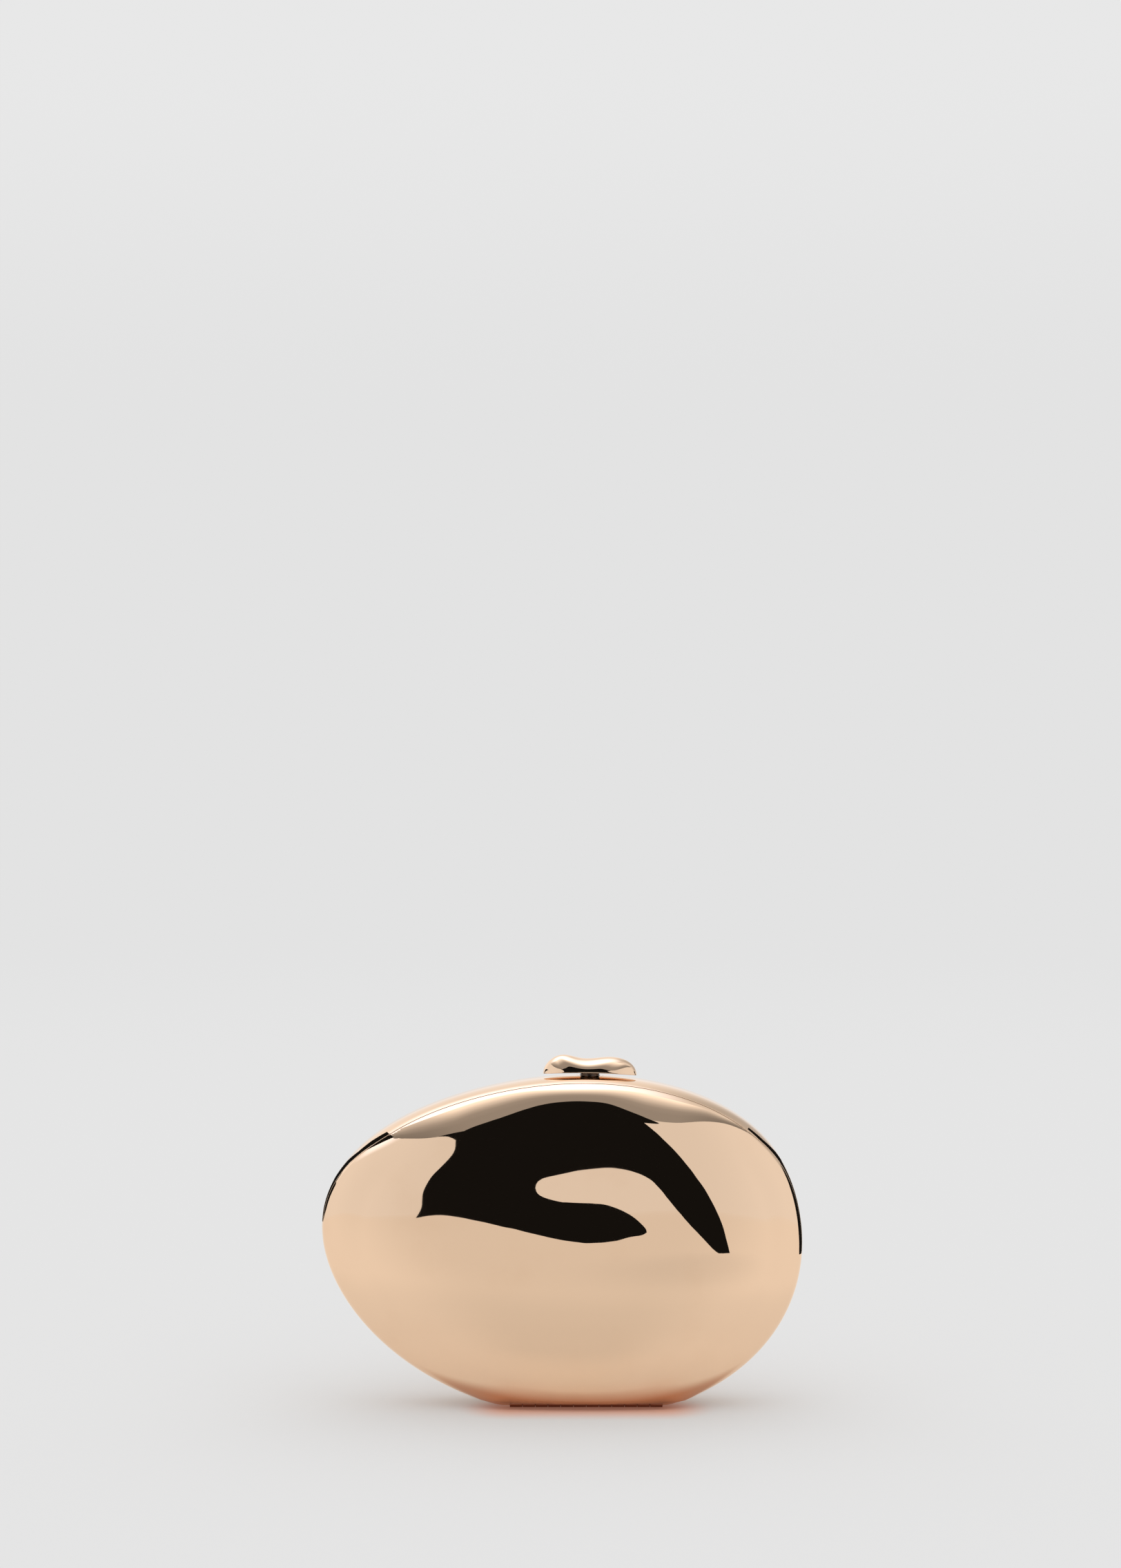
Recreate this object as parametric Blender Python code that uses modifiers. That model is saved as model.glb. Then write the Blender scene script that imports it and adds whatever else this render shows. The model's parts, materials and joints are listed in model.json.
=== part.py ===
"""Oval metal box clutch: two polished shells on a hinge in the foot, closed by a press knob.

Units are metres, +Z is up, +X runs along the width and -Y is the front.
The origin lies under the middle of the body, on the surface that it stands on.
Run with: blender --background --python part.py
"""

import math

import bmesh
import bpy
from mathutils import Vector

MM = 0.001

# Outline of the body, seen from the front.
half_width = 85.0 * MM
half_height = 60.8 * MM
foot_cut = 4.2 * MM
square_share = 0.058
egg_share = 0.036
skew_share = 0.043
sag_share = 0.211
lean_share = 0.023
twist_share = 0.033

# Section of the body, from the seam to the front and to the rear.
front_depth = 13.75 * MM
rear_depth = 36.25 * MM
dome_centre_rise = 1.9 * MM
rim_power = 3.4
flat_power = 2.0
belly_shares = (0.0, 0.18, 0.34)

# Shells.
wall = 1.2 * MM
parting_gap = 0.3 * MM
seat_gap = 0.3 * MM
fit_gap = 0.4 * MM
front_floor = 1.2 * MM
foot_blend = 0.8 * MM
foot_step_run = 2.0 * MM

# Flat rings inside the two rims.
ring_depth = 2.4 * MM
ring_width = 2.0 * MM

# Linings.
lining_thickness = 0.8 * MM

# Piano hinge.
knuckle_count = 12
knuckle_pitch = 4.5 * MM
knuckle_gap = 0.3 * MM
barrel_radius = 1.6 * MM
barrel_clearance = 0.35 * MM
barrel_rise = 0.75 * MM
edge_relief_radius = 1.1 * MM
edge_relief_run = 5.0 * MM
hinge_pin_radius = 0.6 * MM
hinge_bore_radius = 0.85 * MM
leaf_thickness = 0.8 * MM
hinge_rivet_count = 3
rivet_radius = 0.55 * MM
rivet_hole_radius = 0.8 * MM
rivet_land = 0.6 * MM

# Knob, and how far behind the rear ring the clasp stands.
knob_x = 9.9 * MM
clasp_setback = 8.7 * MM
knob_half_length = 16.7 * MM
knob_half_depth = 6.0 * MM
knob_height = 5.7 * MM
knob_dip = 1.25 * MM
knob_dip_place_share = -0.08
knob_dip_width_share = 0.28
knob_floor_share = 0.12
knob_plan_power = 2.6
knob_swell_power = 4.0
knob_side_power = 0.8
knob_rise_power = 0.85
knob_stroke = 1.2 * MM

# Stem and its bush.
stem_radius = 3.4 * MM
stem_clearance = 0.3 * MM
tenon_radius = 2.0 * MM
tenon_height = 2.0 * MM
tail_radius = 1.2 * MM
tail_groove_radius = 0.9 * MM
tail_tip = 0.6 * MM
bush_wall = 1.0 * MM
nut_across = 11.6 * MM
nut_height = 1.0 * MM

# Latch.
bracket_sheet = 1.0 * MM
bracket_half_depth = 5.5 * MM
bracket_wing = 2.0 * MM
bar_sheet = 1.2 * MM
bar_guide_gap = 0.4 * MM
tooth_length = 1.0 * MM
tooth_release = 0.2 * MM
tooth_play = 0.3 * MM
striker_sheet = 1.0 * MM
striker_half_width = 7.0 * MM
tongue_half_width = 4.0 * MM
tongue_drop = 2.0 * MM
lip_length = 1.2 * MM
lip_height = 1.6 * MM
clip_radius = 2.6 * MM
clip_clearance = 0.2 * MM
clip_sheet = 0.5 * MM

# Return spring under the latch bar.
spring_wire_radius = 0.35 * MM
spring_mean_radius = 2.3 * MM
spring_height = 4.8 * MM
spring_turns = 3

# Facets.
turn_steps = 64
dome_steps = 6
round_steps = 20
small_round_steps = 12
knob_sections = 18
knob_section_points = 20
coil_points = 10
smooth_angle = math.radians(30.0)
nut_smooth_angle = math.radians(20.0)

# Where the searches along the crown and the sole start and end, round the outline.
crown_turns = (math.radians(20.0), math.radians(160.0))
sole_turns = (math.radians(-20.0), math.radians(-160.0))
search_steps = 60

# Points closer than this are one point.
weld_distance = 0.01 * MM

# How far a cutter runs past the piece that it cuts.
overrun = 1.0 * MM


def clear_scene():
    for old in list(bpy.data.objects):
        bpy.data.objects.remove(old)


def new_collection(name):
    collection = bpy.data.collections.new(name)
    bpy.context.scene.collection.children.link(collection)
    return collection


def principled(name, colour, roughness, metallic):
    """A plain surface with the piece's own colour, roughness and metallic value."""
    material = bpy.data.materials.new(name)
    material.use_nodes = True
    shader = material.node_tree.nodes["Principled BSDF"]
    shader.inputs["Base Color"].default_value = (*colour, 1.0)
    shader.inputs["Roughness"].default_value = roughness
    shader.inputs["Metallic"].default_value = metallic
    return material


def add_mesh(name, bm, collection, material=None, sharp_angle=smooth_angle):
    """Turn a bmesh into an object with its faces pointing out."""
    bmesh.ops.recalc_face_normals(bm, faces=bm.faces)
    mesh = bpy.data.meshes.new(name)
    bm.to_mesh(mesh)
    bm.free()
    mesh.shade_smooth()
    mesh.set_sharp_from_angle(angle=sharp_angle)
    if material is not None:
        mesh.materials.append(material)
    placed = bpy.data.objects.new(name, mesh)
    collection.objects.link(placed)
    return placed


def box_mesh(low, high):
    """A box between two opposite corners."""
    bm = bmesh.new()
    bmesh.ops.create_cube(bm, size=1.0)
    middle = (Vector(low) + Vector(high)) / 2.0
    bmesh.ops.scale(bm, vec=Vector(high) - Vector(low), verts=bm.verts)
    bmesh.ops.translate(bm, vec=middle, verts=bm.verts)
    return bm


def rod_mesh(radius, low_end, high_end, axis, steps):
    """A cylinder along X, Y or Z between two points on its axis."""
    low_end = Vector(low_end)
    high_end = Vector(high_end)
    bm = bmesh.new()
    bmesh.ops.create_cone(
        bm, cap_ends=True, cap_tris=False, segments=steps,
        radius1=radius, radius2=radius, depth=(high_end - low_end).length,
    )
    turned = {
        "X": Vector((1.0, 0.0, 0.0)),
        "Y": Vector((0.0, 1.0, 0.0)),
        "Z": Vector((0.0, 0.0, 1.0)),
    }[axis]
    spin = Vector((0.0, 0.0, 1.0)).rotation_difference(turned).to_matrix()
    bmesh.ops.rotate(bm, cent=Vector(), matrix=spin, verts=bm.verts)
    bmesh.ops.translate(bm, vec=(low_end + high_end) / 2.0, verts=bm.verts)
    return bm


def as_cutter(name, bm):
    """Keep a mesh as a guide that the build leaves out."""
    guide = add_mesh(name, bm, cutters)
    guide.hide_render = True
    guide.display_type = "WIRE"
    return guide


def apply_boolean(piece, tool, operation):
    modifier = piece.modifiers.new(tool.name, "BOOLEAN")
    modifier.operation = operation
    modifier.solver = "EXACT"
    modifier.object = tool


def cut(piece, name, bm):
    apply_boolean(piece, as_cutter(name, bm), "DIFFERENCE")


def join(piece, name, bm):
    apply_boolean(piece, as_cutter(name, bm), "UNION")


def turned_piece(name, profile, material, centre, steps=round_steps):
    """Turn a profile of radius and height pairs round an upright axis.

    It runs down its outer side, and closes on itself unless it starts on the axis.
    """
    bm = bmesh.new()
    points = [bm.verts.new((radius, 0.0, height)) for radius, height in profile]
    for first, second in zip(points, points[1:]):
        bm.edges.new((first, second))
    if profile[0][0] > 0.0:
        bm.edges.new((points[-1], points[0]))
    piece = add_mesh(name, bm, parts, material)
    piece.location = centre
    screw = piece.modifiers.new("turn", "SCREW")
    screw.steps = steps
    screw.render_steps = steps
    screw.use_merge_vertices = True
    screw.merge_threshold = weld_distance
    return piece


def loft_mesh(rings, first_pole=None, last_pole=None, close_loop=False):
    """Skin a run of rings of equal length, ending in poles or closing on itself.

    Each four-sided patch is split from its shallower ring to its deeper one, so two
    shells that lie one in the other are faceted alike.
    """
    bm = bmesh.new()
    rows = [[bm.verts.new(point) for point in ring] for ring in rings]
    pairs = list(zip(rows, rows[1:]))
    if close_loop:
        pairs.append((rows[-1], rows[0]))
    for row, next_row in pairs:
        for index in range(len(row)):
            after = (index + 1) % len(row)
            first, second, third, fourth = (
                row[index], row[after], next_row[after], next_row[index],
            )
            if abs(first.co.y) > abs(fourth.co.y):
                bm.faces.new((first, second, fourth))
                bm.faces.new((second, third, fourth))
            else:
                bm.faces.new((first, second, third))
                bm.faces.new((first, third, fourth))
    for pole, row in ((first_pole, rows[0]), (last_pole, rows[-1])):
        if pole is not None:
            tip = bm.verts.new(pole)
            for index in range(len(row)):
                bm.faces.new((row[index], row[(index + 1) % len(row)], tip))
    return bm


outline_middle_height = half_height - foot_cut
dome_centre_height = outline_middle_height + dome_centre_rise
half_depth = (front_depth + rear_depth) / 2.0


def outline(turn):
    """A point of the body's outline: a soft egg, a little squared and leaning."""
    across = (1.0 + square_share) * math.cos(turn) - square_share * math.cos(3.0 * turn)
    across += egg_share * math.sin(turn) ** 2 - skew_share * math.sin(2.0 * turn)
    up = (1.0 - square_share) * math.sin(turn) - square_share * math.sin(3.0 * turn)
    up += sag_share * math.cos(turn) ** 2 - lean_share * math.cos(turn)
    up += twist_share * math.sin(2.0 * turn)
    return half_width * across, outline_middle_height + half_height * up


def turns(steps):
    return [math.tau * index / steps for index in range(steps)]


outline_samples = [outline(turn) for turn in turns(20 * turn_steps)]
outline_shift = -(min(x for x, z in outline_samples) + max(x for x, z in outline_samples)) / 2.0
foot_x = outline_shift + min(outline_samples, key=lambda point: point[1])[0]

seam_y = front_depth - half_depth
front_edge_y = seam_y - parting_gap / 2.0
rear_edge_y = seam_y + parting_gap / 2.0
front_ring_back_y = front_edge_y - ring_depth
rear_ring_back_y = rear_edge_y + ring_depth
front_lining_y = front_ring_back_y - seat_gap
rear_lining_y = rear_ring_back_y + seat_gap
clasp_y = rear_ring_back_y + clasp_setback
step_front_y = rear_lining_y + wall
step_back_y = step_front_y + foot_step_run


def foot_level(y):
    """The floor of the body: raised in front, where the hinge hangs under it."""
    if y <= step_front_y:
        return front_floor
    if y >= step_back_y:
        return 0.0
    return front_floor * (step_back_y - y) / (step_back_y - step_front_y)


def soft_floor(height, level):
    """Flatten a height onto a level floor, with a soft corner."""
    rise = height - level
    if rise >= foot_blend:
        return height
    if rise <= -foot_blend:
        return level
    return level + (rise + foot_blend) ** 2 / (4.0 * foot_blend)


def skin_share(y, inset):
    """How far out the skin stands at a depth, as a share of the outline."""
    depth = half_depth - inset
    return (1.0 - (abs(y) / depth) ** rim_power) ** (1.0 / flat_power)


def skin_point(turn, y, share, inset, inward=0.0):
    """A point of the skin, or of a surface that lies inside it by an inset."""
    x, z = outline(turn)
    x += outline_shift
    arm_x = x - foot_x
    arm_z = z - dome_centre_height
    arm = math.hypot(arm_x, arm_z)
    reach = (share * (arm - inset) - inward) / arm
    height = dome_centre_height + arm_z * reach
    level = foot_level(y) + inset + inward
    return Vector((foot_x + arm_x * reach, y, soft_floor(height, level)))


def skin_ring(y, inset, inward=0.0, steps=turn_steps):
    share = skin_share(y, inset)
    return [skin_point(turn, y, share, inset, inward) for turn in turns(steps)]


def dome_rings(start_y, inset, count, steps=turn_steps):
    """Rings from a depth to just short of the middle of the dome, and the dome's tip."""
    side = -1.0 if start_y < 0.0 else 1.0
    depth = half_depth - inset
    start = math.acos((abs(start_y) / depth) ** (rim_power / 2.0))
    rings = []
    for index in range(count):
        angle = start * (1.0 - index / count)
        y = side * depth * math.cos(angle) ** (2.0 / rim_power)
        share = math.sin(angle) ** (2.0 / flat_power)
        rings.append([skin_point(turn, y, share, inset) for turn in turns(steps)])
    return rings, Vector((foot_x, side * depth, dome_centre_height))


def height_over(x, point_at, first_turn, last_turn):
    """Height where a run of points round the outline passes a place along the width."""
    right, left = first_turn, last_turn
    for _ in range(search_steps):
        middle = (right + left) / 2.0
        if point_at(middle).x > x:
            right = middle
        else:
            left = middle
    return point_at(right).z


def crown_height(x, y, inset):
    """Height of the upper side of a skin above one place along the width."""
    share = skin_share(y, inset)
    return height_over(x, lambda turn: skin_point(turn, y, share, inset), *crown_turns)


def sole_height(x, y, inset):
    """Height of the lower side of a skin above one place along the width."""
    share = skin_share(y, inset)
    return height_over(x, lambda turn: skin_point(turn, y, share, inset), *sole_turns)


def dish_mesh(depths, inset, thickness, dome_count, steps):
    """A closed dish: outer rings and dome, the same inside, and a flat rim between."""
    sides = []
    tips = []
    for side_inset in (inset, inset + thickness):
        rings = [skin_ring(y, side_inset, steps=steps) for y in depths[:-1]]
        dome, tip = dome_rings(depths[-1], side_inset, dome_count, steps)
        sides.append(rings + dome)
        tips.append(tip)
    rings = list(reversed(sides[0])) + sides[1]
    return loft_mesh(rings, first_pole=tips[0], last_pole=tips[1])


# Heights of the hinge, counted up from the lower edge of the front shell.
ring_inset = wall + fit_gap
hinge_length = knuckle_count * knuckle_pitch
hinge_low_x = foot_x - hinge_length / 2.0
hinge_high_x = foot_x + hinge_length / 2.0
rivet_reach = hinge_length / (hinge_rivet_count + 1)
rivet_xs = [
    hinge_low_x + rivet_reach * (index + 1) for index in range(hinge_rivet_count)
]
barrel_height = min(point.z for point in skin_ring(front_edge_y, 0.0)) + barrel_rise
slot_half_depth = barrel_radius + barrel_clearance
slot_top = barrel_height + slot_half_depth
ring_soles = [sole_height(x, front_ring_back_y, ring_inset) for x in rivet_xs]
rivet_height = max(ring_soles + [slot_top]) + rivet_land + rivet_hole_radius
leaf_top = rivet_height + rivet_hole_radius + rivet_land
ring_floor = leaf_top + 2.0 * seat_gap


def mouth_point(turn, y):
    """A point of the rings' inner side, which is the same for both halves."""
    share = skin_share(front_ring_back_y, ring_inset)
    point = skin_point(turn, y, share, ring_inset, ring_width)
    point.z = max(point.z, ring_floor)
    return point


def mouth_height(x):
    """Height of the upper side of the rings' mouth above one place along the width."""
    return height_over(x, lambda turn: mouth_point(turn, seam_y), *crown_turns)


def ring_mesh(edge_y, back_y):
    """A flat ring inside a rim, whose outer side follows the shell's inner side."""
    rings = [skin_ring(edge_y, ring_inset), skin_ring(back_y, ring_inset)]
    for y in (back_y, edge_y):
        rings.append([mouth_point(turn, y) for turn in turns(turn_steps)])
    return loft_mesh(rings, close_loop=True)


clear_scene()
parts = new_collection("oval_clutch")
cutters = new_collection("cutters")

rose_gold = principled("rose_gold_polish", (0.86, 0.62, 0.45), 0.06, 1.0)
inner_gold = principled("rose_gold_satin", (0.80, 0.57, 0.41), 0.28, 1.0)
steel = principled("bright_steel", (0.62, 0.62, 0.63), 0.3, 1.0)
cloth = principled("lining_cloth", (0.11, 0.075, 0.06), 0.9, 0.0)
spring_steel = principled("spring_steel", (0.45, 0.46, 0.48), 0.35, 1.0)

# The two shells and the rings inside their rims.
belly_depths = [half_depth * share for share in belly_shares]
front_shell = add_mesh(
    "front_shell",
    dish_mesh(
        [front_edge_y, front_ring_back_y, front_lining_y], 0.0, wall, dome_steps, turn_steps,
    ),
    parts, rose_gold,
)
rear_shell = add_mesh(
    "rear_shell",
    dish_mesh(
        [rear_edge_y, rear_ring_back_y, step_front_y, step_back_y] + belly_depths,
        0.0, wall, dome_steps, turn_steps,
    ),
    parts, rose_gold,
)
front_ring = add_mesh(
    "front_rim_ring", ring_mesh(front_edge_y, front_ring_back_y), parts, inner_gold,
)
rear_ring = add_mesh(
    "rear_rim_ring", ring_mesh(rear_edge_y, rear_ring_back_y), parts, inner_gold,
)

# The linings start behind the rings.
front_lining = add_mesh(
    "front_lining",
    dish_mesh(
        [front_lining_y], ring_inset, lining_thickness, dome_steps, turn_steps,
    ),
    parts, cloth,
)
rear_lining = add_mesh(
    "rear_lining",
    dish_mesh(
        [rear_lining_y, step_front_y, step_back_y] + belly_depths, ring_inset,
        lining_thickness, dome_steps, turn_steps,
    ),
    parts, cloth,
)

# Piano hinge in the foot.
slot_low = (hinge_low_x - barrel_clearance, seam_y - slot_half_depth, -overrun)
slot_high = (
    hinge_high_x + barrel_clearance, seam_y + slot_half_depth, leaf_top + seat_gap,
)
for shell in (front_shell, rear_shell):
    cut(shell, "hinge_slot_in_" + shell.name, box_mesh(slot_low, slot_high))
ring_slot_low = (slot_low[0], front_ring_back_y - overrun, slot_low[2])
ring_slot_high = (slot_high[0], rear_ring_back_y + overrun, slot_top)
for ring in (front_ring, rear_ring):
    cut(ring, "hinge_slot_in_" + ring.name, box_mesh(ring_slot_low, ring_slot_high))

cut(front_shell, "edge_relief", rod_mesh(
    edge_relief_radius, (hinge_low_x - edge_relief_run, seam_y, barrel_height),
    (foot_x, seam_y, barrel_height), "X", small_round_steps,
))


def leaf_face_y(side, depth):
    """A depth measured from the parting face of one half into that half."""
    return seam_y + side * (parting_gap / 2.0 + depth)


def box_between(first, second):
    low = [min(a, b) for a, b in zip(first, second)]
    high = [max(a, b) for a, b in zip(first, second)]
    return box_mesh(low, high)


def hinge_leaf(name, side, first_knuckle):
    """A leaf let into the ring's parting face, with every second knuckle."""
    spans = []
    for index in range(first_knuckle, knuckle_count, 2):
        low_x = hinge_low_x + index * knuckle_pitch + knuckle_gap / 2.0
        spans.append((low_x, low_x + knuckle_pitch - knuckle_gap))
    leaf = add_mesh(
        name,
        box_between(
            (spans[0][0], leaf_face_y(side, 0.0), slot_top),
            (spans[-1][1], leaf_face_y(side, leaf_thickness), leaf_top),
        ),
        parts, inner_gold,
    )
    for index, (low_x, high_x) in enumerate(spans):
        join(leaf, f"{name}_tab_{index}", box_between(
            (low_x, leaf_face_y(side, 0.0), barrel_height),
            (high_x, leaf_face_y(side, leaf_thickness), slot_top + leaf_thickness),
        ))
        join(leaf, f"{name}_knuckle_{index}", rod_mesh(
            barrel_radius, (low_x, seam_y, barrel_height),
            (high_x, seam_y, barrel_height), "X", small_round_steps,
        ))
    cut(leaf, f"{name}_bore", rod_mesh(
        hinge_bore_radius, (hinge_low_x - overrun, seam_y, barrel_height),
        (hinge_high_x + overrun, seam_y, barrel_height), "X", small_round_steps,
    ))
    return leaf


def rivet(name, x, height, side, sheet):
    """A flush rivet from a sheet in the parting face through the ring."""
    face_y = leaf_face_y(side, 0.0)
    ring_back_y = leaf_face_y(side, ring_depth)
    shank = add_mesh(
        name, rod_mesh(
            rivet_radius, (x, min(face_y, ring_back_y), height),
            (x, max(face_y, ring_back_y), height), "Y", small_round_steps,
        ), parts, inner_gold,
    )
    ends = sorted((face_y - side * overrun, ring_back_y + side * overrun))
    for pierced in sheet:
        cut(pierced, f"{name}_hole_in_{pierced.name}", rod_mesh(
            rivet_hole_radius, (x, ends[0], height), (x, ends[1], height),
            "Y", small_round_steps,
        ))
    return shank


for side, ring, half, first_knuckle in ((-1.0, front_ring, "front", 1), (1.0, rear_ring, "rear", 0)):
    cut(ring, f"hinge_leaf_seat_{half}", box_between(
        (hinge_low_x - barrel_radius, leaf_face_y(side, -overrun), barrel_height),
        (hinge_high_x + barrel_radius, leaf_face_y(side, leaf_thickness + seat_gap),
         leaf_top + seat_gap),
    ))
    leaf = hinge_leaf(f"hinge_leaf_{half}", side, first_knuckle)
    for index, x in enumerate(rivet_xs):
        rivet(f"hinge_rivet_{half}_{index + 1}", x, rivet_height, side, (leaf, ring))

hinge_pin = add_mesh("hinge_pin", rod_mesh(
    hinge_pin_radius, (hinge_low_x, seam_y, barrel_height),
    (hinge_high_x, seam_y, barrel_height), "X", small_round_steps,
), parts, steel)

# Heights of the clasp, counted down from the top of the body at the knob.
crest_height = crown_height(knob_x, clasp_y, 0.0)
under_ring = min(mouth_height(knob_x + side * striker_half_width) for side in (-1.0, 1.0))
tongue_top = under_ring - tongue_drop
tongue_bottom = tongue_top - striker_sheet
lip_bottom = tongue_bottom - lip_height
tooth_bite = knob_stroke - tooth_release
tooth_top = lip_bottom + tooth_bite
bar_top = tooth_top - lip_height - tooth_play
bar_bottom = bar_top - bar_sheet
bracket_floor_top = bar_bottom - spring_height
bracket_floor_bottom = bracket_floor_top - bracket_sheet
clip_top = bracket_floor_bottom - seat_gap
clip_bottom = clip_top - clip_sheet
groove_top = clip_top + clip_clearance
groove_bottom = clip_bottom - clip_clearance
clip_bore_radius = tail_groove_radius + clip_clearance
tail_end = groove_bottom - tail_tip
stem_shoulder = bar_top + seat_gap
knob_gap = knob_stroke + seat_gap
knob_underside = crest_height + knob_gap

# Knob: a long pebble with a shallow dish in its top, lying along the body's crest.
def knob_under_height(x):
    return crown_height(x, clasp_y, 0.0) + knob_gap


def knob_section(share):
    """A closed section across the knob at a place along its length."""
    x = knob_x + knob_half_length * share
    swell = math.sqrt(1.0 - abs(share) ** knob_swell_power)
    dish = (share - knob_dip_place_share) / knob_dip_width_share
    height = knob_height * swell - knob_dip * math.exp(-dish * dish / 2.0) * swell
    depth = knob_half_depth * math.sqrt(1.0 - abs(share) ** knob_plan_power)
    floor = knob_under_height(x) + (knob_height - height) * knob_floor_share
    points = []
    for index in range(knob_section_points):
        angle = math.tau * index / knob_section_points
        side = math.copysign(abs(math.cos(angle)) ** knob_side_power, math.cos(angle))
        rise = math.copysign(abs(math.sin(angle)) ** knob_rise_power, math.sin(angle))
        points.append(Vector((
            x, clasp_y + depth * side, floor + height * (1.0 + rise) / 2.0,
        )))
    return points


def knob_mesh():
    sections = []
    for index in range(1, knob_sections):
        angle = math.pi * index / knob_sections
        sections.append(knob_section(-math.cos(angle)))
    tips = []
    for end in (-1.0, 1.0):
        x = knob_x + knob_half_length * end
        tips.append(Vector((
            x, clasp_y, knob_under_height(x) + knob_height * knob_floor_share,
        )))
    return loft_mesh(sections, first_pole=tips[0], last_pole=tips[1])


clasp_knob = add_mesh("clasp_knob", knob_mesh(), parts, rose_gold)
tenon_top = knob_underside + tenon_height
cut(clasp_knob, "knob_socket", rod_mesh(
    tenon_radius + stem_clearance, (knob_x, clasp_y, knob_underside - overrun),
    (knob_x, clasp_y, tenon_top + seat_gap), "Z", round_steps,
))

# Stem: a tenon in the knob, a post in the bush and a thin tail through the spring.
stem_top = knob_underside - seat_gap
stem_profile = [
    (0.0, tenon_top),
    (tenon_radius, tenon_top),
    (tenon_radius, stem_top),
    (stem_radius, stem_top),
    (stem_radius, stem_shoulder),
    (tail_radius, stem_shoulder),
    (tail_radius, groove_top),
    (tail_groove_radius, groove_top),
    (tail_groove_radius, groove_bottom),
    (tail_radius, groove_bottom),
    (tail_radius, tail_end),
    (0.0, tail_end),
]
knob_stem = turned_piece("knob_stem", stem_profile, rose_gold, (knob_x, clasp_y, 0.0))

# Bush through the crown of the rear shell, and the nut that holds it.
bush_bore = stem_radius + stem_clearance
bush_radius = bush_bore + bush_wall
bush_hole_radius = bush_radius + seat_gap
nut_radius = nut_across / math.sqrt(3.0)
cheek_inner = nut_radius + bar_guide_gap
cheek_outer = cheek_inner + bracket_sheet
wing_outer = cheek_outer + bracket_wing
bar_half_width = cheek_inner - bar_guide_gap
bracket_front_y = clasp_y - bracket_half_depth
bracket_back_y = clasp_y + bracket_half_depth
bracket_top = min(
    crown_height(knob_x + side * wing_outer, clasp_y + depth, wall)
    for side in (-1.0, 1.0) for depth in (-bracket_half_depth, 0.0, bracket_half_depth)
) - seat_gap
nut_top = bracket_top - bracket_sheet - seat_gap
bush_bottom = nut_top - nut_height
stem_bush = turned_piece("stem_bush", [
    (bush_bore, crest_height),
    (bush_radius, crest_height),
    (bush_radius, bush_bottom),
    (bush_bore, bush_bottom),
], rose_gold, (knob_x, clasp_y, 0.0))
cut(rear_shell, "bush_hole", rod_mesh(
    bush_hole_radius, (knob_x, clasp_y, bush_bottom), (knob_x, clasp_y, crest_height + overrun),
    "Z", round_steps,
))

bush_nut = add_mesh("bush_nut", rod_mesh(
    nut_radius, (knob_x, clasp_y, bush_bottom), (knob_x, clasp_y, nut_top), "Z", 6,
), parts, steel, sharp_angle=nut_smooth_angle)
cut(bush_nut, "bush_nut_bore", rod_mesh(
    bush_hole_radius, (knob_x, clasp_y, bush_bottom - overrun), (knob_x, clasp_y, nut_top + overrun),
    "Z", round_steps,
))

# Bracket under the crown: a folded frame that guides the bar and carries the spring.
latch_bracket = add_mesh("latch_bracket", box_mesh(
    (knob_x - wing_outer, bracket_front_y, bracket_top - bracket_sheet),
    (knob_x + wing_outer, bracket_back_y, bracket_top),
), parts, steel)
for side, place in ((-1.0, "left"), (1.0, "right")):
    join(latch_bracket, f"bracket_cheek_{place}", box_between(
        (knob_x + side * cheek_inner, bracket_front_y, bracket_floor_bottom),
        (knob_x + side * cheek_outer, bracket_back_y, bracket_top - bracket_sheet / 2.0),
    ))
join(latch_bracket, "bracket_floor", box_mesh(
    (knob_x - cheek_inner - bracket_sheet / 2.0, bracket_front_y, bracket_floor_bottom),
    (knob_x + cheek_inner + bracket_sheet / 2.0, bracket_back_y, bracket_floor_top),
))
cut(latch_bracket, "bracket_bush_hole", rod_mesh(
    bush_hole_radius, (knob_x, clasp_y, bracket_top - bracket_sheet - overrun),
    (knob_x, clasp_y, bracket_top + overrun), "Z", round_steps,
))
cut(latch_bracket, "bracket_tail_hole", rod_mesh(
    tail_radius + stem_clearance, (knob_x, clasp_y, bracket_floor_bottom - overrun),
    (knob_x, clasp_y, bracket_floor_top + overrun), "Z", small_round_steps,
))

# Striker on the front ring: a plate let into the parting face, a tongue and its lip.
tooth_front_y = rear_edge_y + tooth_length
tooth_back_y = tooth_front_y + tooth_length
lip_front_y = tooth_back_y + tooth_play
lip_back_y = lip_front_y + lip_length
striker_plate_top = under_ring + ring_width + rivet_land
striker = add_mesh("striker", box_between(
    (knob_x - striker_half_width, leaf_face_y(-1.0, 0.0), tongue_bottom),
    (knob_x + striker_half_width, leaf_face_y(-1.0, striker_sheet), striker_plate_top),
), parts, steel)
join(striker, "striker_tongue", box_mesh(
    (knob_x - tongue_half_width, leaf_face_y(-1.0, striker_sheet / 2.0), tongue_bottom),
    (knob_x + tongue_half_width, lip_back_y, tongue_top),
))
join(striker, "striker_lip", box_mesh(
    (knob_x - tongue_half_width, lip_front_y, lip_bottom),
    (knob_x + tongue_half_width, lip_back_y, tongue_bottom + striker_sheet / 2.0),
))
cut(front_ring, "striker_seat", box_between(
    (knob_x - striker_half_width - seat_gap, leaf_face_y(-1.0, -overrun), under_ring - overrun),
    (knob_x + striker_half_width + seat_gap, leaf_face_y(-1.0, striker_sheet + seat_gap),
     striker_plate_top + seat_gap),
))
striker_rivet_height = (under_ring + striker_plate_top) / 2.0
striker_rivet_reach = striker_half_width / 2.0
for side, place in ((-1.0, "left"), (1.0, "right")):
    rivet(
        f"striker_rivet_{place}", knob_x + side * striker_rivet_reach,
        striker_rivet_height, -1.0, (striker, front_ring),
    )

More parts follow.
